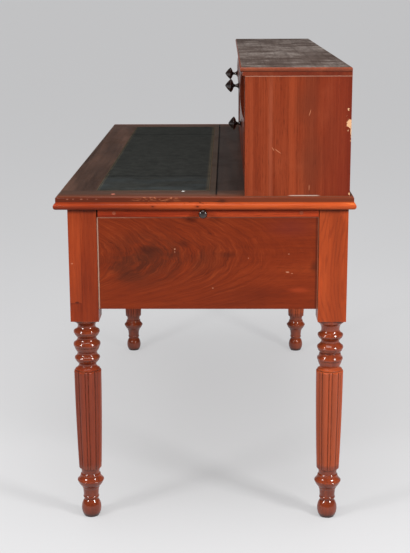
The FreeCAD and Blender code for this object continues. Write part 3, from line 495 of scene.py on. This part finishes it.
# Top. A core between a front board, a back board and two end clamps, all veneered above; the edge is
# worked in two steps, a square upper one with its corner rounded and a bold round below it.
for name, grain in (
    ("top_front_board", "x"), ("top_core", "x"), ("top_back_board", "x"),
    ("top_clamp_left", "y"), ("top_clamp_right", "y"),
):
    clamp = name.startswith("top_clamp")
    side = -1 if name.endswith("left") else 1
    board = timber(
        name + "_mahogany", grain, tint(116, 38, 16), tint(160, 60, 26), tint(190, 84, 40), (0.9, side, 0), 0.8, 0.35,
        **polish,
    )
    if clamp:
        # The polish is brighter towards the case, and two knots lie in the lower round.
        board.lay(board.past("Y", -0.25, 0), tint(206, 92, 42), 0.6)
        vein = board.cloud((1, 9, 260), 3, 0.6, 1.2, (0, 0.3, 0))
        board.lay(board.both(board.rise(vein, 0.54, 0.64), board.past("Y", -0.1, 0.1)), tint(150, 56, 24), 0.5)
        board.lay(board.both(board.rise(vein, 0.44, 0.36), board.past("Y", 0.05, 0.2)), tint(226, 128, 66), 0.6)
        for place, level, long, high in ((-0.1115, 0.739, 0.004, 0.0022), (-0.0146, 0.739, 0.005, 0.0026)):
            for times, share, colour in ((2.4, 0.4, tint(120, 40, 18)), (1, 0.8, tint(58, 22, 14))):
                knot = board.spot((0.71 * side, place, level), (0.02, long * times, high * times), 0.8)
                board.lay(knot, colour, share)
    upper_step = board.past("Z", 0.7472, 0.7488)
    board.lay(upper_step, tint(76, 34, 21), 0.85)
    if clamp:
        # The square step: redder at the back, a soft knot, small knocks, fretted polish and a crack.
        board.lay(board.both(upper_step, board.past("Y", -0.05, 0.12)), tint(118, 54, 32), 0.6)
        board.lay(board.spot((0.705 * side, 0.0386, 0.7505), (0.02, 0.013, 0.007), 0.9), tint(66, 30, 18), 0.75)
        for place, long, share in (
            (-0.2966, 0.0032, 0.6), (-0.284, 0.0022, 0.5), (-0.266, 0.004, 0.55), (-0.253, 0.002, 0.4),
            (-0.2334, 0.0036, 0.35),
        ):
            knock = board.spot((0.705 * side, place, 0.7545), (0.01, long, 0.0017), 0.7)
            board.lay(knock, tint(190, 128, 102), share)
        frets = board.rise(board.cloud((1, 55, 260), 2, 0.6, 1.5), 0.55, 0.62)
        fretted = board.both(frets, board.between("Z", 0.75, 0.759), board.between("Y", -0.15, -0.06, 0.02))
        board.lay(fretted, tint(205, 130, 90), 0.5)
        split = board.rise(board.cloud((1, 60, 500), 2, 0.6, 1), 0.56, 0.62)
        crack = board.both(split, board.between("Z", 0.7445, 0.7495), board.between("Y", -0.13, 0.05, 0.02))
        board.lay(crack, tint(50, 20, 12), 0.8)
    # Worn polish and painted highlights along the edges.
    wear_and_sheen = board.rise(board.cloud((30, 30, 30)), 0.42, 0.62)
    board.lay(board.both(board.arris(0.0025), wear_and_sheen), tint(196, 112, 70), 0.22)
    # The upper face has gone grey-brown with use and old wax.
    face = board.past("Z", 0.7588, 0.7594)
    waxed = board.ramp(board.tone, (0.36, tint(54, 38, 31)), (0.5, tint(78, 56, 46)), (0.64, tint(102, 73, 60)))
    board.lay(face, waxed)
    board.lay(board.both(face, board.between("Y", 0.0115, 0.024)), tint(74, 62, 52), 0.7)
    # Painted reflection: the face of the back board is greyed for the sheen it shows.
    if name == "top_back_board":
        board.lay(face, tint(50, 46, 44), 0.65)
    within = board.rise(board.sum("ABSOLUTE", board.along("X")), 0.7, 0.69)
    board.lay(board.both(board.between("Y", 0.0238, 0.0276, 0.0005), within), tint(16, 9, 7))
    if clamp:
        rub = board.both(face, board.rise(board.both(board.along("X"), side), 0.66, 0.705))
        board.lay(rub, tint(132, 64, 36), 0.5)
    if name == "top_clamp_right":
        speck = board.both(face, board.spot((0.634, -0.048, 0.76), (0.007, 0.0042, 0.01), 0.4))
        board.lay(speck, tint(232, 230, 226))
        graze = board.both(face, board.spot((0.672, -0.2, 0.76), (0.012, 0.006, 0.01), 0.6))
        board.lay(graze, tint(178, 106, 86))
    smears = board.rise(board.cloud((5, 7, 5), 4, 0.6, 0.6), 0.4, 0.75)
    board.dull(board.both(face, smears), 0.55)
    under = board.past("Z", 0.7318, 0.7312)
    board.lay(under, tint(128, 84, 56))
    board.dull(under, 0.8)
    board.coat(name)
    ease(name, 0.0004, 0.7)

# Writing leather. Three sheets of dark green skiver pasted into the sunk core, the two end sheets
# narrower, with a worn gilt line and a blind roll round the whole, and the seams left as fine dark lines.
hide = Finish("skiver", Roughness=0.6, Specular_IOR_Level=0.08)
creases = hide.cloud((38, 38, 38), 5, 0.65, 0.7)
hide.colour = hide.ramp(creases, (0.34, tint(40, 41, 39)), (0.5, tint(48, 49, 46)), (0.7, tint(57, 58, 55)))
faded = hide.both(hide.rise(hide.cloud((14, 9, 4)), 0.4, 0.6), hide.past("X", 0.4, 0.5))
hide.lay(faded, tint(58, 64, 66), 0.5)
rim = hide.sum("MAXIMUM", hide.between("Y", -0.243, -0.2405, 0.0008), hide.between("Y", 0.0085, 0.0111, 0.0008))
rim = hide.sum("MAXIMUM", rim, hide.sum("SUBTRACT", 1, hide.between("X", -0.6228, 0.6228, 0.0008)))
hide.lay(rim, tint(92, 74, 54), 0.8)
line_end = 0.6198
outer = hide.between("X", -line_end, line_end, 0.0003)
inner = hide.between("X", 0.001 - line_end, line_end - 0.001, 0.0003)
gilt = hide.sum("MAXIMUM", hide.between("Y", -0.2378, -0.2368, 0.0003), hide.between("Y", 0.0048, 0.0058, 0.0003))
gilt_ends = hide.both(hide.sum("SUBTRACT", outer, inner), hide.between("Y", -0.2378, 0.0058, 0.0003))
gilt = hide.sum("MAXIMUM", hide.both(gilt, outer), gilt_ends)
hide.lay(hide.both(gilt, hide.rise(creases, 0.35, 0.55)), tint(112, 96, 66), 0.6)
hide.lay(hide.between("Y", 0.0015, 0.0111, 0.002), tint(82, 72, 58), 0.35)
for seam in (-0.415, 0.415):
    hide.lay(hide.between("X", seam - 0.006, seam + 0.004, 0.002), tint(18, 20, 19), 0.75)
    hide.lay(hide.between("X", seam + 0.004, seam + 0.007, 0.002), tint(70, 74, 72), 0.3)
hide.relief(hide.cloud((700, 700, 700), 3, 0.6, 0.2), 0.0002, 0.5)
hide.relief(creases, 0.0004, 0.4)


def cut_sheet(name, left, right):
    """One sheet of leather, its edge thinned and pressed down all round."""
    width, thick, middle, level = 0.254, 0.0012, -0.116, 0.7594
    mesh = bpy.data.meshes.new(name)
    skin = bmesh.new()
    bmesh.ops.create_cube(skin, size=1)
    bmesh.ops.scale(skin, verts=skin.verts, vec=(right - left, width, thick))
    bmesh.ops.translate(skin, verts=skin.verts, vec=((left + right) / 2, middle, level))
    upper = [edge for edge in skin.edges if all(corner.co.z > level for corner in edge.verts)]
    bmesh.ops.bevel(
        skin, geom=upper, offset=0.0007, offset_type="OFFSET", affect="EDGES", segments=3, profile=0.5, material=-1
    )
    skin.to_mesh(mesh)
    skin.free()
    sheet = bpy.data.objects.new(name, mesh)
    room.collection.objects.link(sheet)
    hide.coat(sheet)
    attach(sheet, "desk")
    return sheet


for name, left, right in (
    ("leather_left", -0.625, -0.4152), ("leather_middle", -0.4148, 0.4148), ("leather_right", 0.4152, 0.625),
):
    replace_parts(cut_sheet(name, left, right), "writing_leather")

# End slides. A board with a mahogany lipping, two pegs through it and a small turned knob; the upper
# face has a leather panel like the top's, let in between narrow borders.
for side, word in ((1, "right"), (-1, "left")):
    name = f"slide_mahogany_{word}"
    slide = timber(name, "y", tint(130, 38, 16), tint(176, 62, 28), tint(200, 84, 42), (side, 0.4, 0), **polish)
    outward = slide.both(slide.along("X"), side)
    slide.lay(slide.rise(outward, 0.676, 0.674), tint(128, 60, 34), 0.6)
    upper = slide.past("Z", 0.7298, 0.7301)

    def oblong(head, foot, front, back):
        """An oblong of the upper face."""
        outside, inside = slide.rise(outward, head, head - 0.001), slide.rise(outward, foot, foot + 0.001)
        return slide.both(upper, outside, inside, slide.between("Y", front, back, 0.0005))

    sunk = oblong(0.6555, 0.38, -0.2, 0.214)
    slide.lay(sunk, tint(44, 50, 48))
    slide.lay(oblong(0.6505, 0.385, -0.195, 0.209), tint(150, 120, 70))
    slide.lay(oblong(0.6493, 0.3862, -0.1938, 0.2078), tint(46, 53, 51))
    slide.dull(sunk, 0.6)
    # Edges: worn polish and painted highlights; painted shade in hollows and on the lipping's end by the post.
    slide.lay(slide.arris(0.0015), tint(200, 120, 84), 0.4)
    slide.lay(slide.painted_hollow_shade(0.006, 0.4), tint(40, 16, 10), 0.8)
    slide.lay(slide.both(slide.past("Y", -0.2325, -0.2332), slide.rise(outward, 0.67, 0.671)), tint(20, 8, 6), 0.9)
    slide.coat(f"slide_{word}_board", f"slide_{word}_lipping")
    ease(f"slide_{word}_lipping", 0.0005)
pegs = timber("peg_mahogany", "x", tint(120, 46, 28), tint(158, 72, 48), tint(186, 100, 72), (0, 0.3, 0), **polish)
# Painted shade in the hollows about the pegs.
pegs.lay(pegs.painted_hollow_shade(0.002, 0.3, 0.8), tint(60, 22, 14), 0.8)
pegs.coat("slide_left_pegs", "slide_right_pegs")

# Knobs. Pear wood turned in one piece with its shank, stained black and polished, the polish worn to
# brown on the crest, where a brown highlight is also painted.
ebony = Finish("ebonised", Roughness=0.3, Specular_IOR_Level=0.3, Coat_Weight=1.0, Coat_Roughness=0.08)
rub = ebony.cloud((90, 90, 90), 3, 0.6, 0.3)
ebony.colour = ebony.ramp(rub, (0.38, tint(24, 14, 12)), (0.55, tint(42, 24, 19)), (0.7, tint(66, 38, 28)))
ebony.lay(ebony.arris(0.002), tint(92, 56, 42), 0.4)
ebony.coat(*(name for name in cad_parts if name.endswith("knob")))


# Drawers of the stand. A mahogany front faced with upright curl, oak sides lapped into it with
# dovetails, an oak back and a bottom slid in from behind; each front has its knob and a brass keyhole.
def fiddled(name, middle, width, lift):
    """The veneer of one drawer front, with the pores and shading of a plain curl about its middle."""
    front_face, veneer_back = -0.2915, -0.2905
    seed = (middle * 3, 0, lift)
    front = timber(name, "z", tint(106, 35, 14), tint(140, 49, 19), tint(164, 65, 27), seed, **polish)
    offset = front.sum("SUBTRACT", front.along("X"), middle)
    wander = front.cloud((9, 1, 7), 4, 0.65, 0.5, (middle, 0, lift))
    bow = front.sum("SUBTRACT", front.along("Z"), front.both(offset, offset, 2.4 / width))
    bow = front.sum("ADD", bow, front.both(wander, 0.06))
    plumes = front.cloud((1, 1, 1), 4, 0.6, 0.8, places=front.flat(front.both(bow, 80), front.both(offset, 7)))
    figure = front.ramp(
        plumes,
        (0.36, tint(98, 33, 13)), (0.48, tint(132, 46, 18)), (0.56, tint(148, 55, 22)), (0.68, tint(174, 77, 35)),
    )
    front.lay(front.rise(front.sum("ABSOLUTE", offset), width * 0.14, width * 0.48, 0.85, 0.15), figure)
    back = front.past("Y", veneer_back, veneer_back + 0.0006)
    front.lay(back, tint(134, 82, 50))
    front.dull(back, 0.8)
    # Worn polish and painted highlights on the edges.
    front.lay(front.arris(0.0015), tint(208, 124, 80), 0.45)
    front.lay(front.spot((middle, front_face, lift), (0.032, 0.02, 0.026), 0.7), tint(86, 30, 14), 0.35)
    return front


def lapped(name, middle, low, high, tails):
    """Oak drawer sides, with the pins of the front showing between their tails."""
    wood = timber(
        name, "y", tint(122, 90, 58), tint(164, 126, 86), tint(188, 152, 110), (middle, 0, 0), 1.3, 0.6, Roughness=0.68
    )
    turn = wood.sum("DIVIDE", wood.sum("SUBTRACT", wood.along("Z"), low), (high - low) / tails)
    part = wood.apart(wood.sum("FRACT", turn), 0.5)
    for start, inward, pin_colour in ((-0.2695, -1, tint(126, 48, 22)), (0.2655, 1, tint(120, 88, 58))):
        depth = wood.both(wood.sum("SUBTRACT", wood.along("Y"), start), inward)
        neck = wood.sum("ADD", 0.36, wood.both(depth, 6))
        joint = wood.rise(depth, -0.0003, 0.0003)
        wood.lay(wood.both(wood.sum("GREATER_THAN", part, neck), joint), pin_colour)
        wood.lay(wood.both(wood.rise(wood.apart(part, neck), 0.02, 0.008), joint), tint(70, 46, 28), 0.75)
        wood.lay(wood.between("Y", start - 0.0004, start + 0.0004, 0.0002), tint(80, 54, 32), 0.6)
    # Painted shade in the corners.
    wood.lay(wood.painted_hollow_shade(0.02), tint(92, 68, 44), 0.5)
    return wood


brass = Finish("old_brass", Metallic=1.0, Roughness=0.32)
brass.colour = brass.ramp(brass.cloud((400, 400, 400)), (0.35, tint(120, 88, 44)), (0.65, tint(196, 156, 88)))


def keyhole(name, middle, level, body):
    """A thin brass liner let into the front, with the keyhole cut through it."""
    front_face, eye, rim, thick = -0.2917, 0.0042, 0.0011, 0.0006
    mesh = bpy.data.meshes.new(name)
    liner = bmesh.new()
    bmesh.ops.create_circle(liner, cap_ends=False, segments=32, radius=eye)
    # The lowest part of the round is drawn in and pulled down into a skirt.
    for corner in liner.verts:
        if corner.co.y < -0.0026:
            corner.co.x *= 0.55
            corner.co.y = corner.co.y * 2.6 + 0.0028
    wide = bmesh.ops.extrude_edge_only(liner, edges=liner.edges[:])
    outer = [item for item in wide["geom"] if isinstance(item, bmesh.types.BMVert)]
    centre = sum((corner.co for corner in outer), Vector()) / len(outer)
    for corner in outer:
        corner.co += (corner.co - centre).normalized() * rim
    bmesh.ops.solidify(liner, geom=liner.faces[:], thickness=thick)
    bmesh.ops.recalc_face_normals(liner, faces=liner.faces[:])
    bmesh.ops.rotate(liner, verts=liner.verts, matrix=Matrix.Rotation(math.pi / 2, 3, "X"))
    lowest = min(corner.co.y for corner in liner.verts)
    bmesh.ops.translate(liner, verts=liner.verts, vec=(middle, front_face - lowest, level))
    liner.to_mesh(mesh)
    liner.free()
    fitting = bpy.data.objects.new(name, mesh)
    room.collection.objects.link(fitting)
    brass.coat(fitting)
    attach(fitting, body)


for word, middle, width, low, tails, knob_lift, lock in (
    ("left", -0.465, 0.328, 0.5254, 5, 0.086, 0.6805),
    ("centre", 0.0, 0.558, 0.6194, 2, 0.039, 0.6862),
    ("right", 0.465, 0.328, 0.5254, 5, 0.086, 0.6805),
):
    drawer = "drawer_" + word
    front = fiddled(f"{drawer}_veneer", middle, width, low + knob_lift)
    # The keyhole's opening, painted near black for the shade inside the hole.
    front.lay(front.spot((middle, -0.2915, lock - 0.001), (0.0032, 0.004, 0.0062), 0.2), tint(8, 5, 4))
    front.coat(f"{drawer}_front")
    ease(f"{drawer}_front", 0.0006)
    keyhole(f"{drawer}_keyhole", middle, lock, drawer)
    lapped(f"{drawer}_oak", middle, low, 0.6905, tails).coat(f"{drawer}_sides")
    ease(f"{drawer}_sides", 0.0008)
bottoms = timber(
    "drawer_bottom_oak", "x", tint(134, 102, 68), tint(172, 136, 96), tint(194, 160, 120), (0.1, 0.6, 0), 1.6, 0.6,
    Roughness=0.7,
)
stain = bottoms.rise(bottoms.cloud((9, 9, 9), 4, 0.6, 0.4), 0.56, 0.68)
bottoms.lay(stain, tint(96, 66, 42), 0.35)
# Painted shade in the corners.
bottoms.lay(bottoms.painted_hollow_shade(0.03, 0.3), tint(92, 66, 42), 0.5)
bottoms.coat("drawer_left_floor", "drawer_centre_floor", "drawer_right_floor")

# Drawers of the case. Two small ones over a wide one, their fronts cut from one mahogany board, with
# thin oak boxes behind; dowels into the top hold the case in its place.
for name, middle, lift in (("small_left", -0.2155, 0.958), ("small_right", 0.2155, 0.958), ("wide_drawer", 0.0, 0.84)):
    seed = (0.3, 0, lift * 3)
    board = timber(f"{name}_mahogany", "x", tint(78, 28, 14), tint(104, 40, 19), tint(126, 54, 28), seed, **polish)
    # Worn polish and painted highlights on the edges.
    board.lay(board.arris(0.0015), tint(180, 106, 70), 0.35)
    board.lay(board.spot((middle, 0.085, lift), (0.03, 0.02, 0.024), 0.7), tint(86, 30, 14), 0.35)
    board.coat(f"{name}_front")
    ease(f"{name}_front", 0.0006)
    box = timber(
        f"{name}_oak", "x", tint(126, 94, 60), tint(166, 130, 90), tint(190, 154, 112), (0.2, 0, lift), 1.5, 0.6,
        Roughness=0.68,
    )
    # Painted shade in the corners.
    box.lay(box.painted_hollow_shade(0.02), tint(92, 68, 44), 0.5)
    box.coat(f"{name}_box")
oak.coat("case_dowels")

# Back of the case. A thin oak board let into a rebate and held by round-headed pins, left bare, grey and
# water marked along its lower edge.
panel = timber(
    "back_oak", "x", tint(104, 78, 52), tint(142, 110, 78), tint(168, 136, 100), (0.4, 0, 0.2), 1.2, 0.7, Roughness=0.75
)
damp = panel.sum("ADD", panel.along("Z"), panel.both(panel.cloud((5, 1, 5), 4), 0.09))
panel.lay(panel.rise(damp, 0.84, 0.82), tint(84, 60, 40), 0.45)
# Painted shade in the hollows.
panel.lay(panel.painted_hollow_shade(0.03, 0.3), tint(70, 52, 38), 0.5)
panel.coat("case_back_panel")
iron = Finish("pin_iron", Metallic=0.8, Roughness=0.5)
iron.colour = iron.ramp(iron.cloud((500, 500, 500)), (0.4, tint(46, 40, 36)), (0.65, tint(92, 74, 60)))
mesh = bpy.data.meshes.new("back_pins")
pins = bmesh.new()
pin_radius, pin_height, panel_back = 0.0024, 0.45, 0.3121
places = [(x, z) for x in (-0.64, -0.42, -0.21, 0.0, 0.21, 0.42, 0.64) for z in (0.768, 1.009)]
places += [(side * 0.677, z) for side in (-1, 1) for z in (0.83, 0.89, 0.95)]
for x, z in places:
    head = bmesh.ops.create_uvsphere(pins, u_segments=14, v_segments=8, radius=pin_radius)["verts"]
    bmesh.ops.scale(pins, verts=head, vec=(1, pin_height, 1))
    bmesh.ops.translate(pins, verts=head, vec=(x, panel_back, z))
pins.to_mesh(mesh)
pins.free()
for face in mesh.polygons:
    face.use_smooth = True
pin_heads = bpy.data.objects.new("back_pins", mesh)
room.collection.objects.link(pin_heads)
iron.coat(pin_heads)
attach(pin_heads, "desk")

# Case ends. Single boards of straight-grained mahogany with their grain upright, faded in streaks,
# chipped on the back arris and scratched; the lid is glued and pinned on top of them.
for side, word in ((1, "right"), (-1, "left")):
    case = timber(
        f"case_mahogany_{word}", "z", tint(104, 37, 18), tint(129, 50, 24), tint(147, 63, 34), (side, 0, 0), 1.1, 0.6,
        **polish,
    )
    brushed = case.cloud((1, 420, 3), 3, 0.6)
    case.lay(case.rise(brushed, 0.5, 0.66), tint(168, 80, 46), 0.25)
    for place, level, long, high, share in (
        (0.235, 0.835, 0.05, 0.075, 0.42), (0.213, 0.954, 0.05, 0.06, 0.3), (0.275, 0.9, 0.03, 0.1, 0.25),
    ):
        case.lay(case.spot((0.69 * side, place, level), (0.2, long, high), 1), tint(98, 48, 30), share)
    bloom = case.cloud((1, 9, 7), 4, 0.6, 0.5, (0, 0.4, 0.2))
    case.lay(case.rise(bloom, 0.5, 0.68), tint(154, 74, 46), 0.3)
    case.lay(case.past("Y", 0.2, 0.29), tint(118, 40, 24), 0.45)
    for place, width, share, colour in (
        (0.141, 0.007, 0.22, tint(184, 104, 76)),
        (0.188, 0.011, 0.35, tint(176, 78, 42)),
        (0.228, 0.024, 0.5, tint(104, 44, 26)),
        (0.30, 0.02, 0.4, tint(112, 34, 22)),
        (0.1, 0.01, 0.25, tint(170, 78, 46)),
    ):
        sway = case.sum("SUBTRACT", case.cloud((1, 1, 6), 2, shift=(0, place * 40, 0)), 0.5)
        offset = case.sum("ADD", case.sum("SUBTRACT", case.along("Y"), place), case.both(sway, 0.01))
        streak = case.rise(case.sum("ABSOLUTE", offset), width * 0.2, width, 1, 0)
        broken = case.rise(case.cloud((1, 8, 5)), 0.3, 0.6)
        case.lay(case.both(streak, broken), colour, share)
    # Chips with torn edges down the back arris, then scratches about their own middles.
    ragged = case.both(case.sum("SUBTRACT", case.cloud((170, 170, 120), 4, 0.75), 0.5), 3.4)
    for place, level, long, high in (
        (0.3095, 0.916, 0.0075, 0.0165), (0.3135, 0.898, 0.003, 0.02),
        (0.3135, 0.764, 0.006, 0.005), (0.307, 0.945, 0.005, 0.006),
    ):
        middle = (0.698 * side, place, level)
        torn = case.both(ragged, case.spot(middle, (0.02, 2 * long, 2 * high)))
        chip = case.sum("ADD", case.spot(middle, (0.01, long, high), 0.9), torn)
        case.lay(case.rise(chip, 0.35, 0.5), tint(222, 172, 128))
    for place, level, length, lean in (
        (0.2255, 0.939, 0.009, 0.3), (0.158, 0.857, 0.011, 2.2), (0.1475, 0.862, 0.006, 2.6), (0.226, 0.778, 0.008, 0),
    ):
        about = case.spread((1, 1, 1), (0, -place, -level))
        about = case.spread((1, 1, 1), turn=(lean, 0, 0), places=about)
        scratch = case.distance(case.spread((0, 1 / 0.0009, 1 / length), places=about))
        case.lay(case.rise(scratch, 0.5, 1, 1, 0), tint(206, 134, 96), 0.7)
    # The glue line under the lid, a pale gap at the foot, worn polish and painted highlights on the edges, and painted
    # shade on the front edge.
    case.lay(case.between("Z", 1.0152, 1.0172, 0.0004), tint(196, 150, 128), 0.7)
    gap = case.both(case.between("Z", 0.76, 0.7618, 0.0004), case.between("Y", 0.184, 0.246, 0.006))
    case.lay(gap, tint(206, 190, 176), 0.8)
    case.lay(case.arris(0.0015), tint(206, 120, 78), 0.45)
    case.lay(case.past("Y", 0.0876, 0.087), tint(40, 18, 13), 0.85)
    inside = case.rise(case.both(case.along("X"), side), 0.6808, 0.6804)
    case.lay(inside, tint(112, 50, 28), 0.6)
    case.coat(f"case_end_{word}")
    ease(f"case_end_{word}", 0.0007)

# Inside of the case. Uprights, partition, shelf and base board of plainer mahogany, housed into each
# other and polished less often than the outside.
for finish, grain, tones, seed, names in (
    (
        "case_inner_mahogany", "z", (tint(96, 38, 20), tint(128, 52, 28), tint(150, 68, 38)), (0.2, 0.2, 0),
        ("case_upright_left", "case_upright_right", "case_partition"),
    ),
    (
        "case_board_mahogany", "x", (tint(90, 36, 20), tint(122, 50, 28), tint(146, 66, 38)), (0.5, 0.2, 0),
        ("case_shelf", "case_base_board"),
    ),
):
    timber(finish, grain, *tones, seed, **polish).coat(*names)
    for name in names:
        ease(name, 0.0005)

# Lid. One board with a bead and a hollow worked along its front and ends; its upper face is dull and
# patchy, with old varnish gone grey in cloudy smears.
lid = timber("lid_mahogany", "x", tint(104, 40, 22), tint(146, 62, 34), tint(172, 86, 52), (1.3, 0, 0), **polish)
# Painted shade in the hollow and in the groove above it.
lid.lay(lid.between("Z", 1.0168, 1.0262, 0.0008), tint(96, 34, 22), 0.6)
lid.lay(lid.between("Z", 1.0252, 1.027, 0.0004), tint(66, 26, 18), 0.7)
lid.lay(lid.past("Z", 1.0252, 1.027), tint(118, 66, 48), 0.6)
# Worn polish and painted highlights along the edges.
chafe_and_sheen = lid.rise(lid.cloud((70, 70, 70)), 0.42, 0.6)
lid.lay(lid.both(lid.arris(0.002), chafe_and_sheen), tint(206, 140, 110), 0.5)
face_low, face_high = 1.0343, 1.0348
lid_face = lid.past("Z", face_low, face_high)
haze = lid.mingle(
    (lid.cloud((20, 15, 14), 4, 0.55, 0.2, (0.35, 0, 0)), 0.55),
    (lid.cloud((3.2, 5, 3), 3, 0.6, 0.2, (0.1, 0, 0)), 0.45),
)
lid.lay(lid_face, lid.ramp(haze, (0.38, tint(76, 61, 54)), (0.5, tint(98, 84, 77)), (0.62, tint(132, 121, 114))))
fibres = lid.cloud((3, 85, 1), 4, 0.65, 0.3)
lid.lay(lid.both(lid_face, lid.rise(fibres, 0.46, 0.64)), tint(58, 44, 38), 0.35)
craze = lid.cloud((30, 95, 1), 5, 0.7, 0.4)
crazed = lid.both(lid_face, lid.rise(craze, 0.52, 0.6), lid.rise(haze, 0.44, 0.54))
lid.lay(crazed, tint(152, 140, 134), 0.45)
lid.dull(lid_face, 0.5)
lid.feed(lid.shader.inputs["Coat Weight"], lid.past("Z", face_low, face_high, 0.2, 0.04))
lid.coat("case_lid")
ease("case_lid", 0.0005)
